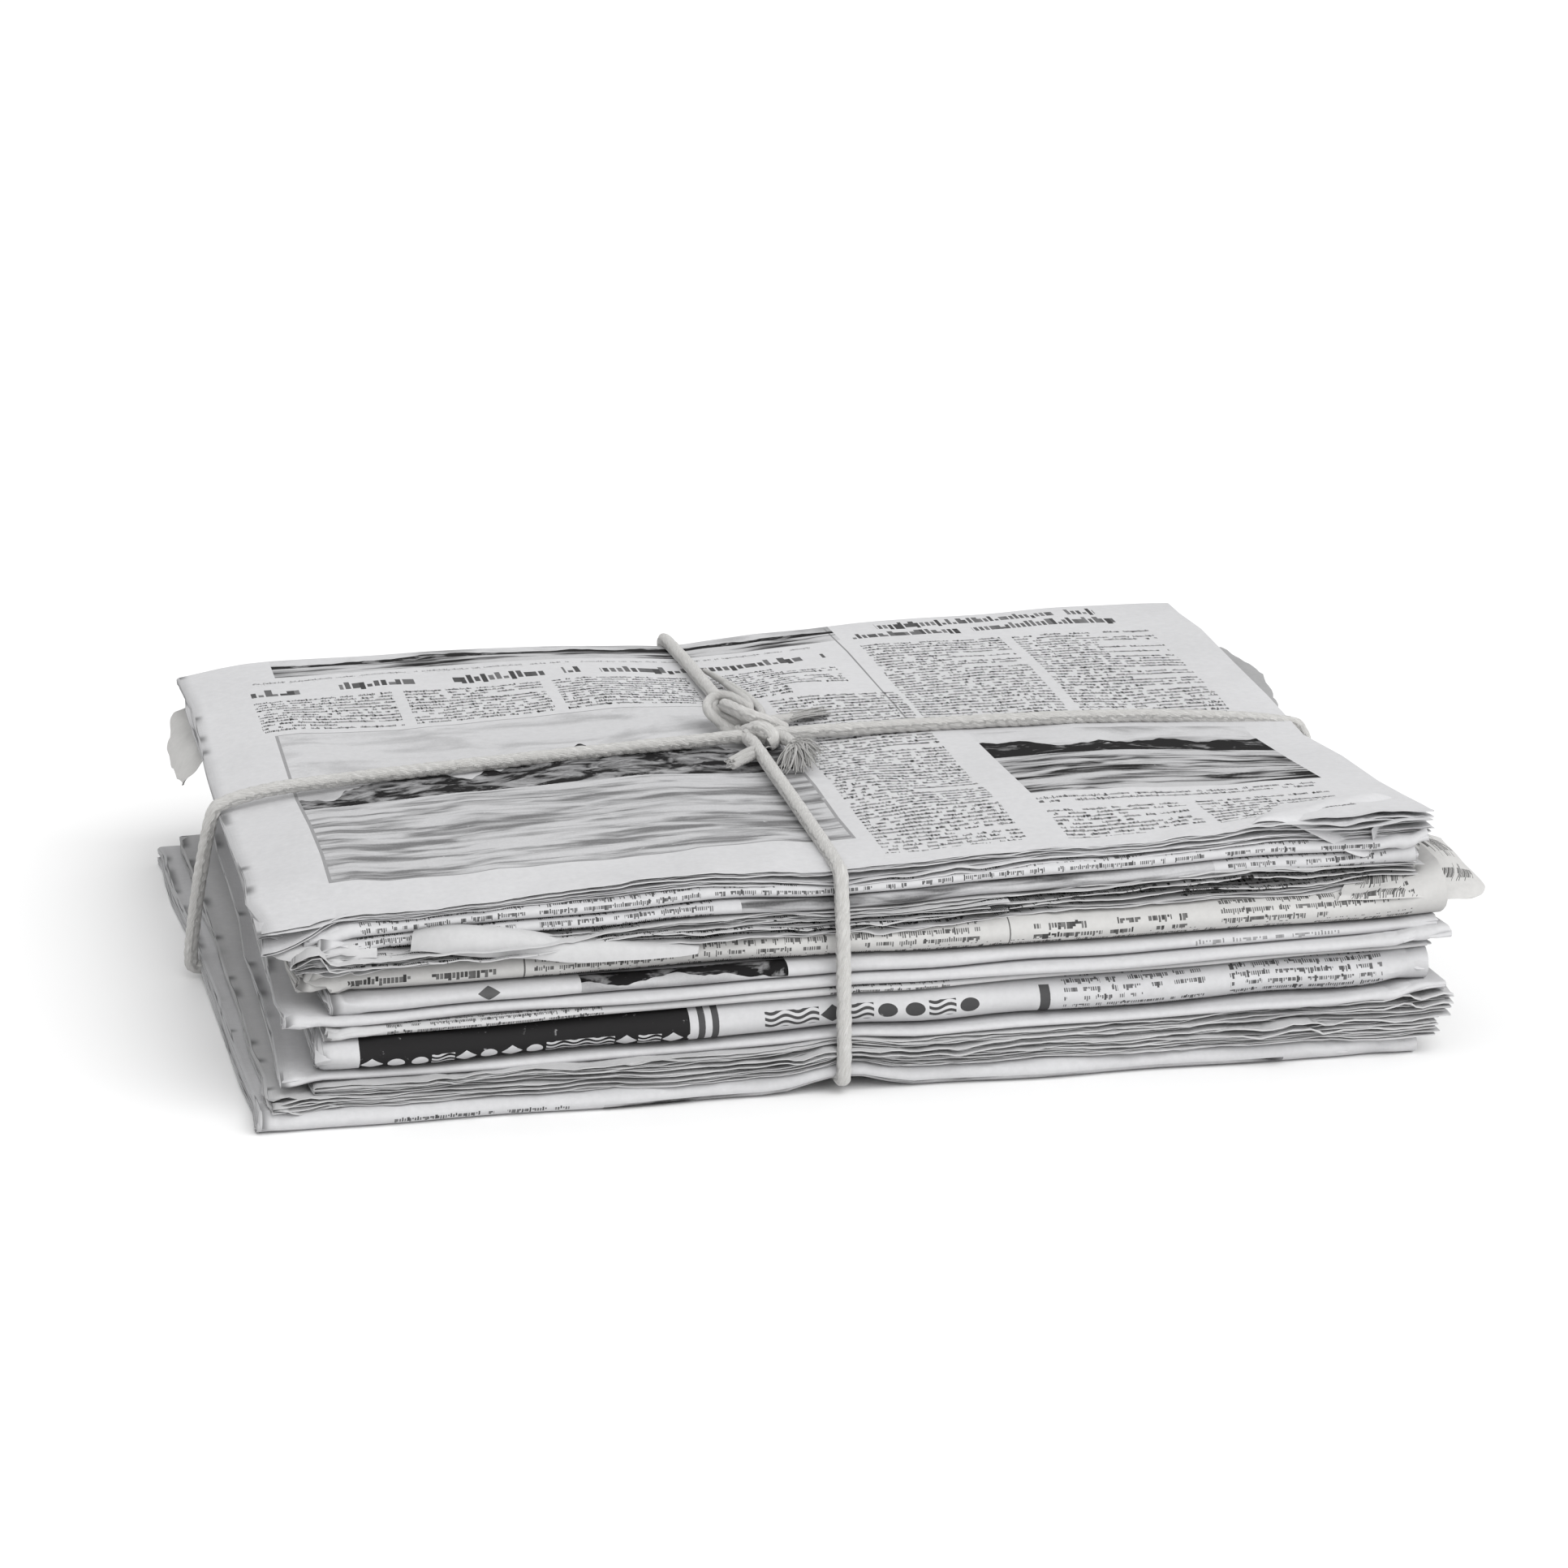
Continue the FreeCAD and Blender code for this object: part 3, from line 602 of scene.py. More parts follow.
def loose_leaf(name, page, crumple, rows, dice):
    """A single leaf with a slight thickness that passes through a net of points."""
    control = np.array([[in_frame(point) for point in row] for row in rows])
    t = np.linspace(0, 3, 22)
    basis = np.stack([np.prod([(t - k) / (j - k) for k in range(4) if k != j], axis=0)
                      for j in range(4)], axis=1)
    points = np.einsum("ai,bj,ijk->abk", basis, basis, control)
    s, t = np.meshgrid(t / 3, t / 3)
    across, up = (np.linalg.norm(end - control[0, 0]) for end in (control[0, -1], control[-1, 0]))
    for axis in range(3):
        waves, fine = Waves(dice, 17.0, 7), Waves(dice, 7.0, 7)
        points[:, :, axis] += crumple * (0.6 * waves(s * across, t * up) + 0.25 * fine(s * across, t * up))
    left, right, bottom, top = page
    places = np.stack([left + (right - left) * s, bottom + (top - bottom) * t, 0 * s], axis=2)
    leaf = grid_piece(name, points, places, np.zeros(s.shape, bool))
    only(leaf)
    modifier = leaf.modifiers.new("Solidify", "SOLIDIFY")
    modifier.thickness = settings().leaf_thickness
    bpy.ops.object.modifier_apply(modifier=modifier.name)
    return leaf


def build_newspaper(name, materials):
    """One folded newspaper: a jacket of outer leaves and the bundles inside it."""
    seed = settings().seed
    dice = random.Random(seed + sum(map(ord, name)))
    look = dict(NEWSPAPERS[name], bends=BENDS[name], wander=Waves(dice, 55.0, 7),
                spine=Waves(dice, 30.0, 7), settle=Waves(random.Random(seed), 80.0))
    form = Form(name)
    half = float(np.mean(form.high - form.low)) / 2
    wall = min(JACKET, half * JACKET_SHARE)
    bundles = [Bundle(form, look, dice, 0, 0.0, half - MIDDLE_GAP, wall)]
    room = (half - MIDDLE_GAP - 2 * wall) / look["layers"]
    for layer in range(look["layers"]):
        near = wall + room * (layer + (1 - look["fill"]) / 2)
        bundles.append(Bundle(form, look, dice, layer + 1, near, near + room * look["fill"]))
    pieces = [bundle.piece(f"{name}_leaves_{i}") for i, bundle in enumerate(bundles)]
    pieces += [loose_leaf(f"{name}_loose_{i}", *leaf, dice)
               for i, leaf in enumerate(LOOSE_LEAVES.get(name, ()))]
    piece = joined(name.replace("newspaper", "paper"), pieces)
    return finished(piece, look["slot"], materials, name)


# String

def nurbs_line(points, step):
    """Points at an even distance along the NURBS curve through a route."""
    bpy.ops.curve.primitive_nurbs_path_add()
    path = bpy.context.active_object
    path.data.splines.clear()
    spline = path.data.splines.new("NURBS")
    spline.points.add(len(points) - 1)
    for place, point in zip(spline.points, points):
        place.co = (*point, 1.0)
    spline.order_u = 3
    spline.use_endpoint_u = True
    spline.resolution_u = 32
    only(path)
    bpy.ops.object.convert(target="MESH")
    line = np.array([v.co[:] for v in path.data.vertices])
    bpy.data.objects.remove(path)
    return evenly(line, step)


def evenly(line, step):
    """A line with its points at an even distance."""
    lengths = np.concatenate([[0], np.cumsum(np.linalg.norm(np.diff(line, axis=0), axis=1))])
    count = max(3, round(lengths[-1] / step) + 1)
    wanted = np.linspace(0, lengths[-1], count)
    return np.stack([np.interp(wanted, lengths, line[:, k]) for k in range(3)], axis=1)


def frames_along(line):
    """Two directions square to a line at each of its points, without twist."""
    ahead = np.gradient(line, axis=0)
    ahead /= np.linalg.norm(ahead, axis=1)[:, None]
    side = np.cross(ahead[0], (0.3, 0.1, 1.0))
    sides = []
    for direction in ahead:
        side = side - direction * np.dot(side, direction)
        side = side / np.linalg.norm(side)
        sides.append(side)
    sides = np.array(sides)
    return sides, np.cross(ahead, sides)


def string_piece(name, line, dice, radius, lay=STRING_LAY, plies=3, taper=(1, 1), groove=0.16,
                 fuzz=0.05, sides=STRING_SIDES):
    """A twisted string along a line: a tube with grooves between its plies."""
    side, up = frames_along(line)
    lengths = np.concatenate([[0], np.cumsum(np.linalg.norm(np.diff(line, axis=0), axis=1))])
    share = lengths / lengths[-1]
    scale = np.interp(share, [0, 0.5, 1], [taper[0], 1.0, taper[1]])
    angle = np.linspace(0, math.tau, sides + 1)
    turn = lengths * math.tau / lay
    lobes = np.abs(np.sin(plies / 2 * (angle[None, :] - turn[:, None])))
    uneven = Waves(dice, 9.0)(lengths[:, None], 3.0 * np.sin(angle)[None, :])
    r = radius * scale[:, None] * (1 - groove * (1 - lobes) ** 2 + fuzz * 0.5 * uneven)
    points = (line[:, None, :] + side[:, None, :] * (r * np.cos(angle))[:, :, None]
              + up[:, None, :] * (r * np.sin(angle))[:, :, None])
    around = np.broadcast_to(angle[None, :], r.shape)
    page = np.stack([np.broadcast_to(lengths[:, None], r.shape), around - turn[:, None], around], axis=2)
    points = np.concatenate([np.repeat(line[:1, None, :], sides + 1, axis=1), points,
                             np.repeat(line[-1:, None, :], sides + 1, axis=1)])
    page = np.concatenate([page[:1], page, page[-1:]])
    return grid_piece(name, points, page, np.zeros(points.shape[:2], bool))


def build_round(name, node, route, materials):
    """One round of the string, a taut cord from the knot to the knot."""
    line = nurbs_line([in_frame(p) for p in route], STRING_STEP)
    dice = random.Random(settings().seed + len(route))
    tube = string_piece(name, line, dice, STRING_DIAMETER / 2, settings().string_lay / MM)
    piece = joined(name, [tube], STRING_SMOOTH)
    finished(piece, "cotton_string", materials, node)
    return piece


def strands(dice, routes):
    """Twisted strands along routes of the CAD source, each with its radius and its tapers."""
    return [string_piece(f"strand_{i}", nurbs_line([in_frame(p) for p in route], 0.7), dice,
                         radius=radius, lay=5.2 * radius, taper=taper, groove=0.13)
            for i, (radius, taper, route) in enumerate(routes)]


def threads(dice, count, root, spread, ends, rise, radius=0.24):
    """Loose threads that fan out from a root to places between two or more ends."""
    made = []
    for number in range(count):
        share = dice.uniform(0, len(ends) - 1)
        index = min(int(share), len(ends) - 2)
        share = share - index
        end = np.array(ends[index]) * (1 - share) + np.array(ends[index + 1]) * share
        end = end + [dice.gauss(0, 1.3), dice.gauss(0, 1.3), dice.uniform(0.0, 1.6)]
        start = np.array(root) + [dice.gauss(0, spread * part) for part in (1, 1, 0.5)]
        reach = dice.uniform(0.72, 1.06)
        end = start + (end - start) * (reach, reach, 1.0)
        bend = [dice.gauss(0, 1.1), dice.gauss(0, 1.1), 0.0]
        route = [start, start + (end - start) * 0.3 + [0, 0, rise * dice.uniform(0.5, 1.2)],
                 start + (end - start) * 0.68 + bend + np.array([0, 0, rise * dice.uniform(0.3, 0.9)]),
                 end]
        route = [(p[0], p[1], max(p[2], THREAD_BED)) for p in route]
        line = nurbs_line([in_frame(p) for p in route], 1.6)
        made.append(string_piece(f"thread_{number}", line, dice, radius=radius * dice.uniform(0.7, 1.3),
                                 groove=0.0, fuzz=0.2, taper=(1.0, 0.6), sides=5))
    return made


def build_knot(materials):
    """The knot with its loops, and its three loose ends."""
    dice = random.Random(settings().seed + 7)
    pieces = strands(dice, KNOT_STRANDS)
    for thread_group in KNOT_THREADS:
        pieces += threads(dice, *thread_group)
    knot = joined("twine_knot", pieces, STRING_SMOOTH)
    finished(knot, "cotton_string", materials, "string_knot")
    for name, count, root, spread, ends, rise in TAIL_THREADS:
        routes = [route for tail, *route in TAIL_STRANDS if tail == name]
        pieces = strands(dice, routes) + threads(dice, count, root, spread, ends, rise)
        tail = joined("twine_" + name, pieces, STRING_SMOOTH)
        finished(tail, "cotton_string", materials, "string_" + name)


# Materials

class Value:
    """A number or a vector in a node tree, with the arithmetic of its maths nodes."""

    def __init__(self, n, socket):
        self.n, self.socket = n, socket

    def __add__(self, other):
        return self.n.math("ADD", self, other)

    def __sub__(self, other):
        return self.n.math("SUBTRACT", self, other)

    def __rsub__(self, other):
        return self.n.math("SUBTRACT", other, self)

    def __mul__(self, other):
        return self.n.math("MULTIPLY", self, other)

    def __truediv__(self, other):
        return self.n.math("DIVIDE", self, other)

    def __lt__(self, other):
        return self.n.math("LESS_THAN", self, other)

    def __gt__(self, other):
        return self.n.math("GREATER_THAN", self, other)

    def __abs__(self):
        return self.n.math("ABSOLUTE", self)

    def floor(self):
        return self.n.math("FLOOR", self)

    def fraction(self):
        return self.n.math("FRACT", self)


class Nodes:
    """Short ways to add nodes to a node tree."""

    def __init__(self, tree):
        self.tree = tree

    def add(self, kind, given=(), **values):
        """A new node, with its own values and what goes into its sockets."""
        node = self.tree.nodes.new(kind)
        for key, value in values.items():
            setattr(node, key, value)
        for key, value in given:
            self.put(node.inputs[key], value)
        return node

    def put(self, socket, value):
        if isinstance(value, Value):
            self.tree.links.new(value.socket, socket)
        else:
            socket.default_value = value

    def out(self, node, key=0):
        return Value(self, node.outputs[key])

    def math(self, operation, *values, clamp=False):
        return self.out(self.add("ShaderNodeMath", enumerate(values), operation=operation, use_clamp=clamp))

    def vector(self, *values):
        return self.out(self.add("ShaderNodeCombineXYZ", enumerate(values)))

    def split(self, vector):
        node = self.add("ShaderNodeSeparateXYZ", [(0, vector)])
        return [self.out(node, axis) for axis in range(3)]

    def noise(self, vector, scale, detail=2.0, rough=0.5, distortion=0.0):
        return self.out(self.add("ShaderNodeTexNoise", (
            ("Vector", vector), ("Scale", scale), ("Detail", detail), ("Roughness", rough),
            ("Distortion", distortion))))

    def random(self, vector):
        """Three random numbers for each value of a vector."""
        node = self.add("ShaderNodeTexWhiteNoise", [("Vector", vector)], noise_dimensions="3D")
        return self.split(self.out(node, "Color"))

    def between(self, value, low, high):
        """1 where the value lies between two limits, 0 elsewhere."""
        return (value > low) * (value < high)

    def mix(self, share, a, b):
        return self.out(self.add("ShaderNodeMix", ((0, share), (6, a), (7, b)), data_type="RGBA"), 2)

    def smooth(self, value, low, high):
        return self.out(self.add("ShaderNodeMapRange", (
            ("Value", value), ("From Min", low), ("From Max", high)), interpolation_type="SMOOTHSTEP"))

    def place(self):
        return self.out(self.add("ShaderNodeTexCoord"), "Object")

    def page(self):
        return self.out(self.add("ShaderNodeAttribute", attribute_name="page"), "Vector")


def group(name, place, output, **numbers):
    """A new shader node group: its nodes and the values of its inputs."""
    tree = bpy.data.node_groups.new(name, "ShaderNodeTree")
    tree.interface.new_socket(place, in_out="INPUT", socket_type="NodeSocketVector")
    for label, default in numbers.items():
        socket = tree.interface.new_socket(label.capitalize(), in_out="INPUT",
                                           socket_type="NodeSocketFloat")
        socket.default_value = default
    tree.interface.new_socket(output, in_out="OUTPUT", socket_type="NodeSocketFloat")
    n = Nodes(tree)
    given = n.add("NodeGroupInput")
    return n, [n.out(given, i) for i in range(len(numbers) + 1)]


def close_group(n, result):
    """Joins a result to the output of a group, and gives the finished group."""
    n.add("NodeGroupOutput", [(0, result)])
    return n.tree


def text_group():
    """Rows of fine upright strokes in word-like runs: text from a distance, nothing to read."""
    n, (page, column, gutter, pitch, letter, weight, seed) = group(
        "Set text", "Page", "Ink", column=50.0, gutter=4.0, pitch=3.6, letter=1.5, weight=1.0, seed=0.0)
    x, y, _ = n.split(page)
    column_index = (x / column).floor()
    in_column = x - column_index * column
    row = y / pitch
    row_key = row.floor() + column_index * 37.0
    row_dice = n.random(n.vector(row.floor(), column_index, seed))
    short = (row_dice[0] < 0.13) * 0.45
    written = in_column < (column - gutter) * (1.0 - short)
    run = in_column / letter + row_dice[1] * 9.0
    run_dice = n.random(n.vector(run.floor(), row_key, seed + 8.0))
    stroke = run * 2.6
    dice = n.random(n.vector(stroke.floor(), row_key, seed + 3.0))
    inside = n.math("MAXIMUM", stroke.fraction() < weight * 0.62, dice[1] > 0.7)
    upper = 0.36 - (dice[0] > 0.8) * 0.2 + (dice[0] < 0.16) * 0.22
    lower = (dice[2] > 0.9) * 0.14 + 0.8
    ink = inside * n.between(row.fraction(), upper, lower) * (dice[2] * 0.25 + 0.75)
    return close_group(n, ink * (run_dice[2] > 0.17) * written)


def field_group():
    """1 inside a box on the page, 0 outside it."""
    n, (page, left, right, top, bottom) = group(
        "Field", "Page", "Mask", left=0.0, right=10.0, top=0.0, bottom=10.0)
    x, y, _ = n.split(page)
    return close_group(n, n.between(x, left, right) * n.between(y, top, bottom))


def picture_group():
    """A printed picture in grey tones: hills in haze under a cloudy sky, over still water."""
    n, (page, horizon, height, darkness, seed) = group(
        "Landscape picture", "Page", "Ink", horizon=50.0, height=60.0, darkness=0.5, seed=0.0)
    x, y, _ = n.split(page)
    below = (y - horizon) / height
    shifted = x + seed * 311.0
    clouds = n.noise(n.vector(shifted, y * 2.2, seed), 0.028, 4.0, 0.55, 0.6)
    ink = n.smooth(clouds, 0.38, 0.72) * 0.34
    for far, tone in HILLS:
        ridge = n.noise(n.vector(shifted, far * 40.0, seed), 0.018 + 0.02 * (0.5 - far), 4.0, 0.5)
        hill = (below + (ridge * 0.9 - (far + 0.42)) > -0.18) * (below < 0.0)
        slope = n.noise(n.vector(shifted, y * 1.7, far * 90.0), 0.09, 4.0, 0.6, 0.8)
        ink = ink * (1.0 - hill) + hill * (n.smooth(slope, 0.3, 0.7) + 0.5) * tone
    ripples = n.noise(n.vector(shifted * 0.25, y * 1.6, seed), 0.11, 3.0, 0.6, 0.4)
    water = n.smooth(ripples, 0.42, 0.66) * 0.6 + 0.12
    wet = below > 0.0
    ink = ink * (1.0 - wet) + water * wet
    grain = n.noise(page, 1.4, 1.0) * 0.16
    return close_group(n, n.math("MAXIMUM", ink * (darkness + 0.5) + (grain - 0.08), 0.04))


def shapes_group():
    """Plain shapes in a row: dots, diamonds and waves, as an ornamental band has."""
    n, (page, left, middle, size, seed) = group(
        "Row of shapes", "Page", "Mask", left=0.0, middle=0.0, size=8.0, seed=0.0)
    x, y, _ = n.split(page)
    step = (x - left) / size
    a, b = step.fraction() - 0.5, (y - middle) / size
    kind = n.random(n.vector(step.floor(), 1.0, seed))[0]
    dot = n.math("SQRT", a * a + b * b) < 0.36
    diamond = abs(a) + abs(b) < 0.46
    swing = n.math("SINE", step * math.tau) * 0.1
    wave = (((b + swing) * 3.2).fraction() < 0.5) * n.between(b, -0.42, 0.42)
    is_dot, is_wave = kind < 0.3, kind > 0.55
    return close_group(n, dot * is_dot + diamond * (1.0 - is_dot - is_wave) + wave * is_wave)


def paper_group():
    """Unevenness of newsprint: fibres, soft waves, dents and a few creases, as a height."""
    n, (place,) = group("Newsprint surface", "Place", "Height")
    creases = n.add("ShaderNodeTexVoronoi", (("Vector", place), ("Scale", 17.0)),
                    feature="DISTANCE_TO_EDGE")
    crease = n.smooth(n.out(creases, "Distance"), 0.0, 0.03)
    fibres = n.noise(place, 900.0, 3.0, 0.6)
    waves = n.noise(place, 22.0, 3.0, 0.5, 0.4)
    dents = n.noise(place, 75.0, 2.0, 0.5)
    return close_group(n, fibres * 0.03 + waves + dents * 0.22 + crease * 0.05)


def shaded(tone, share=1.0):
    """A colour for a socket: a tone at a share of its brightness."""
    return tuple(c * share for c in tone) + (1.0,)


def new_material(name, roughness, specular, strength, distance):
    """A new material with a bump on its normal: the material, its nodes, its shader, its bump."""
    material = bpy.data.materials.new(name)
    material.use_nodes = True
    shader = material.node_tree.nodes["Principled BSDF"]
    shader.inputs["Roughness"].default_value = roughness
    shader.inputs["Specular IOR Level"].default_value = specular
    n = Nodes(material.node_tree)
    bump = n.add("ShaderNodeBump", (("Strength", strength), ("Distance", distance)))
    n.put(shader.inputs["Normal"], n.out(bump))
    return material, n, shader, bump


class Press:
    """Makes the newsprint materials: paper with printed fields."""

    def __init__(self, ink):
        self.ink_tone = ink
        self.text, self.field = text_group(), field_group()
        self.picture, self.shapes = picture_group(), shapes_group()
        self.paper = paper_group()

    def use(self, n, tree, *values):
        return n.out(n.add("ShaderNodeGroup", enumerate(values), node_tree=tree))

    def pattern(self, n, page, field, seed):
        """The pattern of one field, before it is cut to the field's box."""
        kind, left, right, top, bottom, *values = field
        corner = n.add("ShaderNodeVectorMath", ((0, page), (1, (left, top, 0.0))), operation="SUBTRACT")
        if kind == "text":
            columns, pitch, letter, weight, strength = values
            width = (right - left) / columns
            return self.use(n, self.text, n.out(corner), width, min(4.0, width * 0.08), pitch, letter,
                            weight, seed) * strength
        if kind == "picture":
            horizon, darkness = values
            height = bottom - top
            return self.use(n, self.picture, n.out(corner), horizon * height, height, darkness, seed)
        if kind in ("shapes", "reversed"):
            size, strength = values
            shapes = self.use(n, self.shapes, page, left, (top + bottom) / 2, size, seed)
            return (shapes if kind == "shapes" else 1.0 - shapes) * strength
        return values[0]

    def ink(self, n, page, fields, seed):
        """Ink on the page: the strongest of its fields at each place."""
        total = 0.0
        for number, field in enumerate(fields):
            mask = self.use(n, self.field, page, *field[1:5])
            layer = mask * self.pattern(n, page, field, seed + number * 1.7)
            total = n.math("MAXIMUM", total, layer)
        return total

    def newsprint(self, name, tone, fields, seed):
        """Newsprint of a tone with its printed fields, with painted shade and painted dark gap lines at its
        spine.
        """
        material, n, shader, bump = new_material(name, 0.85, 0.1, 0.6, 0.001)
        place, page = n.place(), n.page()
        from_spine, path, depth = n.split(page)
        uneven = n.noise(place, 9.0, 4.0, 0.6) * 0.10 + n.noise(place, 420.0, 2.0, 0.7) * 0.07
        paper = n.mix(n.smooth(uneven, 0.04, 0.13), shaded(tone, 0.86), shaded(tone))
        # Painted shade on the spine side: the paper turns darker towards the spine, in uneven blotches.
        spine_shade_blotches = n.noise(n.vector(path * 0.02, from_spine, seed), 3.0, 3.0)
        painted_spine_shade = n.smooth(from_spine, 5.0, -0.5) * (spine_shade_blotches * 0.5 + 0.25)
        paper = n.mix(painted_spine_shade, paper, shaded(tone, 0.45))
        # Painted shade: dark lines near the spine where the gaps between leaves lie in shade.
        leaves = n.noise(n.vector(path * 0.012, depth * 1.3, seed), 1.0, 2.0, 0.6)
        line = n.smooth(abs(leaves - 0.5), 0.03, 0.0) * n.smooth(from_spine, 4.0, 1.0)
        paper = n.mix(line * 0.75, paper, shaded(tone, 0.16))
        worn = n.smooth(n.noise(place, 260.0, 3.0, 0.7), 0.15, 0.36) * 0.985
        ink = n.math("MULTIPLY", self.ink(n, page, fields, seed), worn, clamp=True)
        n.put(shader.inputs["Base Color"], n.mix(ink, paper, shaded(self.ink_tone)))
        n.put(bump.inputs["Height"], self.use(n, self.paper, place))
        return material


def leaf_edges(tone):
    """The cut edges of leaves: many thin sheets, with painted shade between some of them."""
    material, n, shader, bump = new_material("Leaf edges", 0.95, 0.1, 0.7, 0.0003)
    place = n.place()
    x, y, z = n.split(place)
    sheets = n.noise(n.vector(x * 60.0, y * 60.0, z * 4200.0), 1.0, 3.0, 0.7)
    share = n.smooth(sheets, 0.36, 0.6) * n.smooth(n.noise(place, 1500.0, 2.0, 0.6), 0.2, 0.55)
    # Painted shade: the dark streaks are the shade between sheets, painted into the colour.
    n.put(shader.inputs["Base Color"], n.mix(share, shaded(tone, 0.2), shaded(tone)))
    n.put(bump.inputs["Height"], sheets)
    return material


def cotton(dark, light):
    """Loosely twisted cotton: off-white, with fine fibres that follow the twist."""
    material, n, shader, bump = new_material("Cotton string", 0.92, 0.15, 0.8, 0.0004)
    shader.inputs["Sheen Weight"].default_value = 0.35
    along, turned, _ = n.split(n.page())
    slant = turned * 2.2 + along * 0.9
    fibres = n.noise(n.vector(slant * 3.4, along * 0.28), 1.0, 3.0, 0.7)
    share = n.smooth(fibres, 0.3, 0.7) * 0.75 + n.noise(n.place(), 2600.0, 2.0, 0.6) * 0.25
    n.put(shader.inputs["Base Color"], n.mix(share, shaded(dark), shaded(light)))
    n.put(bump.inputs["Height"], share)
    return material


# Printed fields of each newspaper: kind, left, right, top, bottom on its page, then for
# text columns, pitch, letter, weight and strength; for a picture the share of its sky and its
# darkness; for shapes their size and strength; for a bar its strength. The page's left is the
# spine. Its top and bottom count from the fold: above 0 on the upper half.
COLUMN = (3.3, 1.45, 1.05, 1.0)
UPPER_HALF = ("text", 14, 320, 20, 280, 5, *COLUMN)
LOWER_HALF = ("text", 14, 320, -280, -20, 5, *COLUMN)
PRINT = {
    "newspaper_01_top": [
        ("picture", 30, 222, 3, 26, 0.5, 1.0),
        ("text", 22, 214, 30, 34, 1, 3.2, 1.3, 1.0, 0.7),
        ("text", 20, 216, 38, 52, 1, 14.0, 6.2, 1.15, 0.95),
        ("text", 20, 216, 56, 96, 4, *COLUMN),
        ("picture", 24, 176, 100, 262, 0.5, 0.5),
        ("bar", 23, 177, 99.4, 100, 0.5),
        ("bar", 23, 177, 262, 262.8, 0.5),
        ("bar", 23, 24, 100, 262, 0.5),
        ("bar", 176, 177, 100, 262, 0.5),
        ("text", 182, 228, 100, 280, 1, *COLUMN),
        ("text", 226, 322, 6, 30, 1, 12.0, 4.8, 1.1, 0.95),
        ("text", 226, 330, 38, 148, 2, *COLUMN),
        ("bar", 220, 220.6, 6, 150, 0.6),
        ("picture", 236, 326, 156, 236, 0.42, 1.1),
        ("text", 236, 326, 240, 248, 1, 3.8, 1.6, 1.0, 0.9),
        ("text", 236, 326, 254, 282, 2, *COLUMN),
    ],
    "newspaper_02": [
        ("text", 22, 318, -280, -4, 5, *COLUMN),
        ("text", 16, 318, -1.5, 120, 6, 3.2, 1.5, 1.0, 0.9),
        ("picture", 60, 250, 130, 270, 0.4, 0.4),
    ],
    "newspaper_03": [
        ("text", 10, 118, -60, 280, 2, 3.3, 1.5, 1.0, 0.9),
        ("picture", 122, 262, -120, 10, 0.35, 0.7),
        ("text", 266, 318, -60, 280, 1, 3.3, 1.5, 1.0, 0.9),
    ],
    "newspaper_04": [
        ("text", 14, 320, 20, 288, 5, *COLUMN),
        ("text", 14, 320, -288, -20, 5, *COLUMN),
        # Painted shade: this grey field falls only on the loose leaf at the right back and darkens it as if
        # in shadow.
        ("bar", 400, 420, 0, 10, 0.36),
    ],
    "newspaper_05": [
        ("text", 14, 60, -3.5, 2.0, 1, 5.5, 3.0, 1.3, 0.95),
        ("bar", 64, 64.5, -80, 60, 0.8),
        ("text", 67, 330, -90, -2.6, 5, 3.6, 1.7, 1.0, 0.9),
        ("text", 67, 200, -2.6, 8.2, 3, 3.6, 1.7, 1.0, 0.9),
        ("bar", 205, 205.4, -20, 60, 0.8),
        ("text", 212, 262, -4.0, 4.4, 1, 4.2, 2.3, 1.1, 0.95),
        ("text", 268, 330, -2.6, 8.2, 1, 3.6, 1.7, 1.0, 0.9),
        ("text", 14, 330, 12, 280, 6, *COLUMN),
    ],
    "newspaper_06": [
        ("shapes", 42, 49, -2.6, 4.4, 7.0, 0.85),
        ("picture", 72, 132, -2.2, 30, 0.3, 0.8),
        ("text", 252, 300, -1.6, 1.6, 1, 3.2, 2.6, 0.8, 0.6),
        ("text", 14, 320, 40, 280, 5, *COLUMN),
        ("text", 14, 320, -280, -30, 5, *COLUMN),
    ],
    "newspaper_07": [UPPER_HALF, LOWER_HALF],
    "newspaper_08": [
        ("text", 18, 84, -40, 40, 1, 2.7, 1.3, 1.1, 0.9),
        ("text", 146, 214, -40, 40, 1, 2.7, 1.3, 1.1, 0.9),
        ("text", 14, 310, 50, 280, 5, *COLUMN),
    ],
    "newspaper_09": [
        ("bar", 12, 106, -9.0, -7.0, 1.0),
        ("reversed", 12, 106, -7.0, -0.4, 6.6, 1.0),
        ("bar", 12, 106, -0.4, 10.0, 1.0),
        ("bar", 108.5, 110.5, -9, 10, 0.9),
        ("bar", 112.5, 114.5, -9, 10, 0.9),
        ("shapes", 128, 192, -5.0, 6.0, 8.0, 0.92),
        ("bar", 209, 212, -9, 6, 0.9),
        ("text", 216, 262, -9.0, 10.5, 1, 3.5, 1.7, 1.0, 0.9),
        ("text", 266, 316, -9.0, 10.5, 1, 3.5, 1.7, 1.0, 0.9),
        ("text", 14, 320, 16, 280, 5, *COLUMN),
        ("picture", 40, 280, -200, -30, 0.4, 0.4),
    ],
    "newspaper_10": [
        ("text", 14, 320, 12, 280, 5, *COLUMN),
        ("text", 14, 320, -280, -12, 5, *COLUMN),
    ],
    "newspaper_11": [UPPER_HALF, LOWER_HALF],
    "newspaper_12": [UPPER_HALF, LOWER_HALF],
    "newspaper_13_bottom": [
        ("text", 38, 92, -3.6, 0.4, 1, 3.6, 1.9, 1.0, 0.9),
        ("picture", 98, 300, -150, -1.2, 0.4, 0.9),
        ("text", 14, 320, 12, 280, 5, *COLUMN),
        ("text", 14, 96, -280, -12, 2, *COLUMN),
    ],
}
# Hills of a printed picture: how far off, and how dark
HILLS = ((0.42, 0.34), (0.2, 0.56), (0.02, 0.84))


# Stage

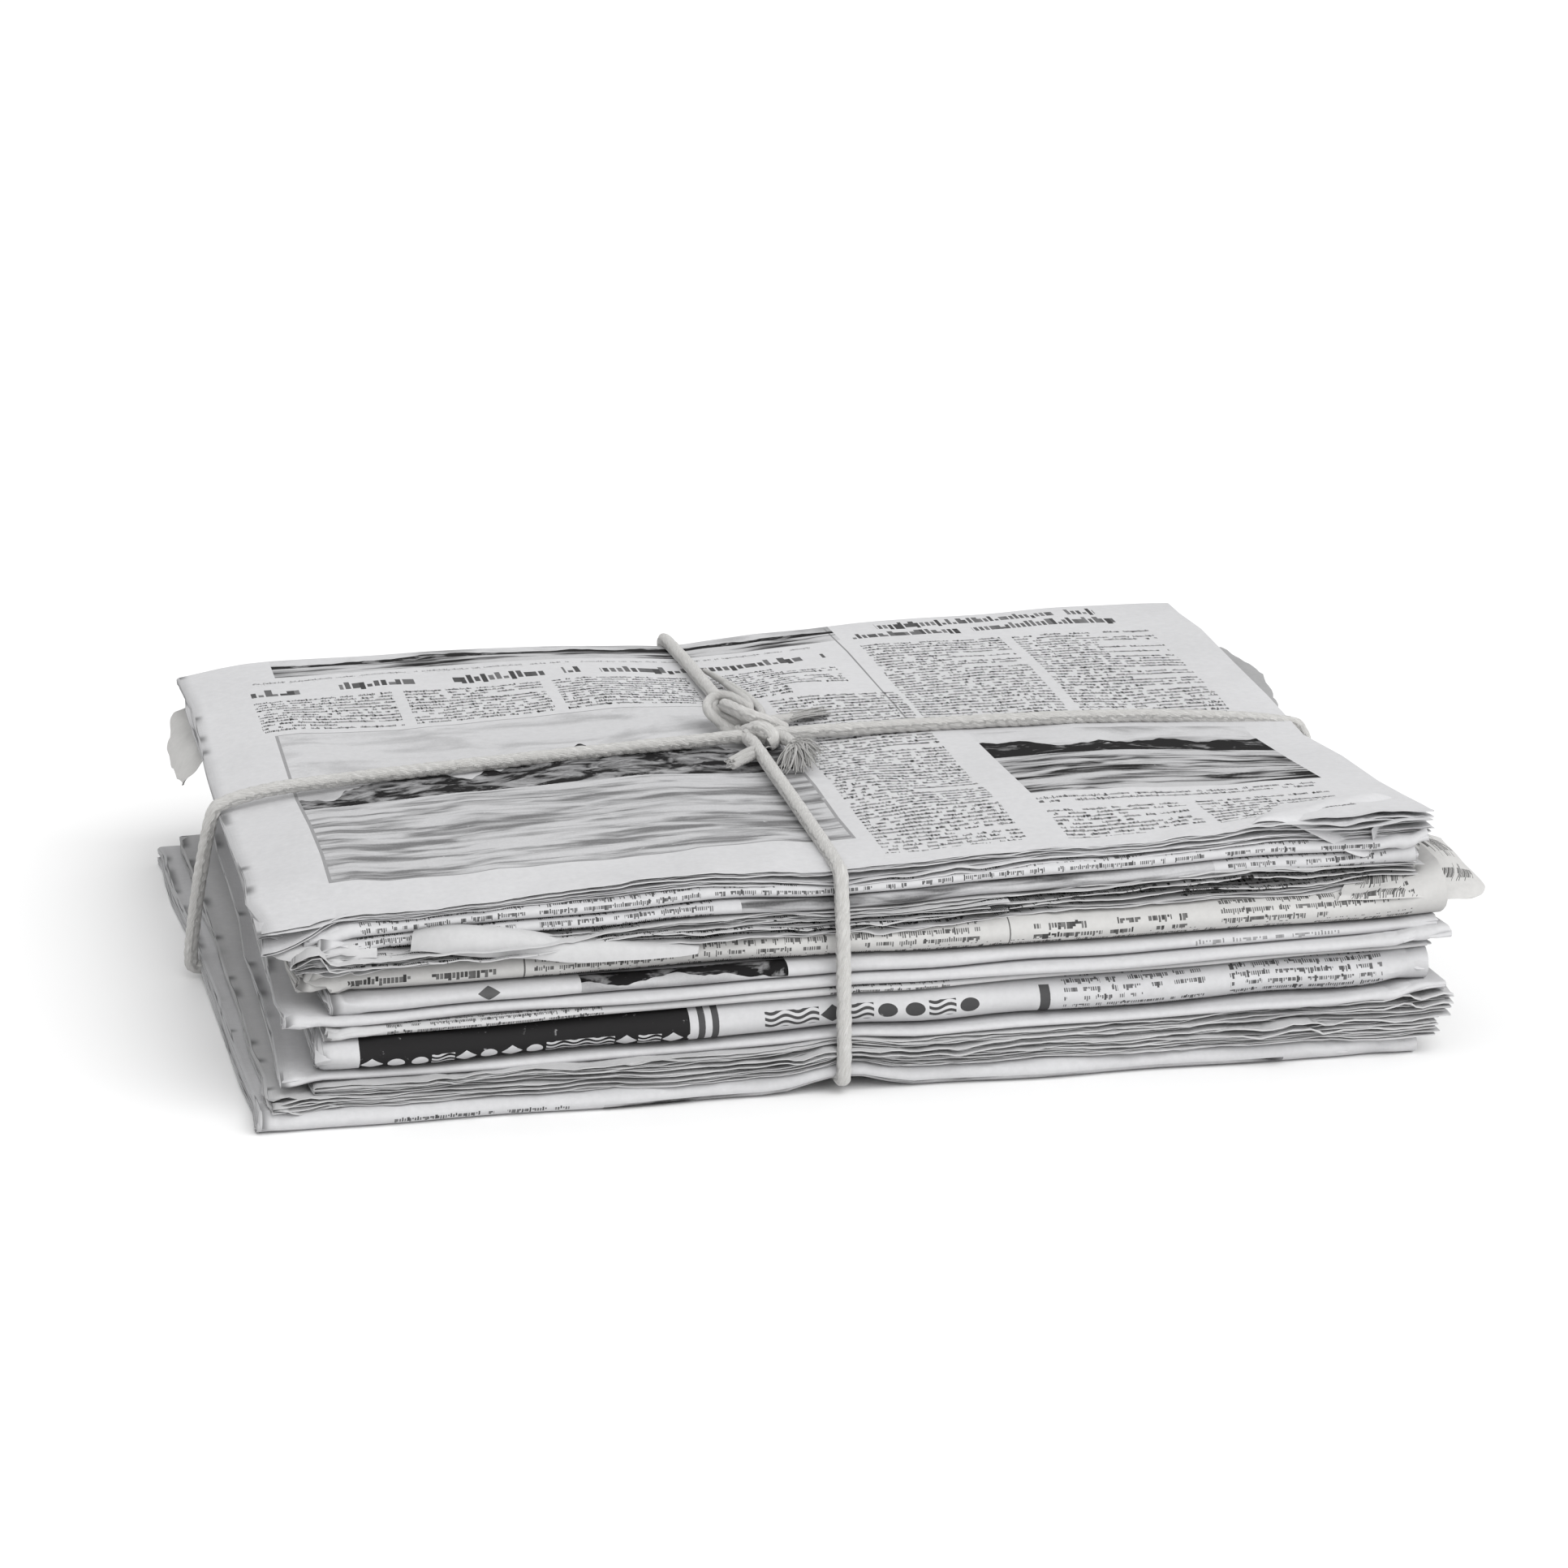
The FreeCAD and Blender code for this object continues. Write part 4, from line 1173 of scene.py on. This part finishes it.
CAMERA_PLACE = (-277.3, -1450.2, 443.0)
CAMERA_TURN = (75.21, 0.0, -11.07)      # degrees
CAMERA_LENS = 111.82
SENSOR_WIDTH = 36.0
LAMP_FROM = (0.50, -0.85, 1.0)
LAMP_WIDTH = 60.0                       # degrees
LAMP_POWER = 1.8
WORLD_LIGHT = 0.8


def soft_sun(name, direction, width, power):
    """An even soft lamp that shines from a direction. Its width is in degrees."""
    bpy.ops.object.light_add(type="SUN", location=direction)
    light = bpy.context.active_object
    light.name = name
    light.data.angle = math.radians(width)
    light.data.energy = power
    light.rotation_euler = Vector(direction).to_track_quat("Z", "Y").to_euler()
    return light


def build_stage():
    """A pale floor, soft studio lamps and the camera at the photograph's place."""
    bpy.ops.mesh.primitive_plane_add(size=12.0, location=(0, 0, 0))
    floor = bpy.context.active_object
    floor.name = "floor"
    material = bpy.data.materials.new("Pale floor")
    material.use_nodes = True
    shader = material.node_tree.nodes["Principled BSDF"]
    shader.inputs["Base Color"].default_value = shaded(settings().floor)
    shader.inputs["Roughness"].default_value = 0.9
    shader.inputs["Specular IOR Level"].default_value = 0.0
    floor.data.materials.append(material)
    lamps = [soft_sun("key", LAMP_FROM, LAMP_WIDTH, LAMP_POWER)]
    world = bpy.data.worlds.new("Studio")
    world.use_nodes = True
    background = world.node_tree.nodes["Background"]
    background.inputs["Color"].default_value = (1.0, 1.0, 1.0, 1.0)
    background.inputs["Strength"].default_value = WORLD_LIGHT
    bpy.context.scene.world = world
    bpy.context.scene.view_settings.view_transform = "Standard"
    data = bpy.data.cameras.new("camera")
    data.lens, data.sensor_width = CAMERA_LENS, SENSOR_WIDTH
    data.clip_start, data.clip_end = 0.05, 30.0
    camera = bpy.data.objects.new("camera", data)
    bpy.context.scene.collection.objects.link(camera)
    camera.location = [c * MM for c in CAMERA_PLACE]
    camera.rotation_euler = [math.radians(a) for a in CAMERA_TURN]
    bpy.context.scene.camera = camera


# Add-on

def colour(name, default):
    return FloatVectorProperty(name=name, description=name + ", as a linear colour", default=default,
                               size=3, min=0.0, max=1.0, subtype="COLOR")


def length(name, description, default, most):
    return FloatProperty(name=name, description=description, default=default * MM, min=0.0,
                         max=most * MM, precision=5, unit="LENGTH")


class StackSettings(bpy.types.PropertyGroup):
    """Sizes and colours that can be changed before the pieces are built."""
    seed: IntProperty(name="Seed", description="Start of all random unevenness", default=20, min=0)
    string_lay: length("Lay of the string", "Length of one turn of its plies", STRING_LAY, 40)
    leaf_thickness: length("Thickness of a leaf", "How thick a loose leaf is", 0.16, 1)
    settling: length("Settling", "Height of the waves that all the newspapers share", 0.55, 2)
    newsprint_top: colour("Paper of the top newspaper", (0.615, 0.615, 0.625))
    newsprint_white: colour("Paper with white margins", (0.605, 0.605, 0.615))
    newsprint_printed: colour("Paper with close print", (0.59, 0.59, 0.60))
    newsprint_grey: colour("Grey paper", (0.57, 0.57, 0.575))
    newsprint_yellowed: colour("Yellowed paper", (0.575, 0.57, 0.56))
    leaf_edges: colour("Cut edges of the leaves", (0.55, 0.54, 0.53))
    ink: colour("Printing ink", (0.012, 0.0115, 0.012))
    cotton_dark: colour("Grooves of the string", (0.50, 0.49, 0.47))
    cotton_light: colour("Fibres of the string", (0.74, 0.735, 0.72))
    floor: colour("Floor", (0.93, 0.93, 0.93))


class STACK_OT_newspapers(bpy.types.Operator):
    """Build the thirteen folded newspapers"""
    bl_idname = "stack.newspapers"
    bl_label = "Newspapers"

    def execute(self, context):
        tones = settings()
        press = Press(tones.ink)
        edges = leaf_edges(tones.leaf_edges)
        for number, (name, look) in enumerate(NEWSPAPERS.items()):
            printed = press.newsprint("Print " + name[10:12], getattr(tones, look["slot"]),
                                      PRINT[name], 11.0 * number)
            build_newspaper(name, [printed, edges])
        return {"FINISHED"}


class STACK_OT_string(bpy.types.Operator):
    """Build the two rounds of string, the knot and its loose ends"""
    bl_idname = "stack.string"
    bl_label = "String"

    def execute(self, context):
        material = [cotton(settings().cotton_dark, settings().cotton_light)]
        build_round("twine_lengthwise", "string_lengthwise", LENGTHWISE_ROUTE, material)
        build_round("twine_crosswise", "string_crosswise", CROSSWISE_ROUTE, material)
        build_knot(material)
        return {"FINISHED"}


class STACK_OT_stage(bpy.types.Operator):
    """Build the floor, the lamps and the camera"""
    bl_idname = "stack.stage"
    bl_label = "Stage"

    def execute(self, context):
        build_stage()
        return {"FINISHED"}


class STACK_PT_panel(bpy.types.Panel):
    bl_label = "Newspaper Stack"
    bl_idname = "STACK_PT_panel"
    bl_space_type = "VIEW_3D"
    bl_region_type = "UI"
    bl_category = "Stack"

    def draw(self, context):
        for name in StackSettings.__annotations__:
            self.layout.prop(settings(), name)
        for operator in OPERATORS:
            self.layout.operator(operator.bl_idname)


OPERATORS = (STACK_OT_newspapers, STACK_OT_string, STACK_OT_stage)


def register():
    for item in (StackSettings, *OPERATORS, STACK_PT_panel):
        bpy.utils.register_class(item)
    bpy.types.Scene.newspaper_stack = PointerProperty(type=StackSettings)


def unregister():
    del bpy.types.Scene.newspaper_stack
    for item in reversed((StackSettings, *OPERATORS, STACK_PT_panel)):
        bpy.utils.unregister_class(item)


def main():
    register()
    bpy.ops.stack.newspapers()
    bpy.ops.stack.string()
    bpy.ops.stack.stage()


if __name__ == "__main__":
    main()
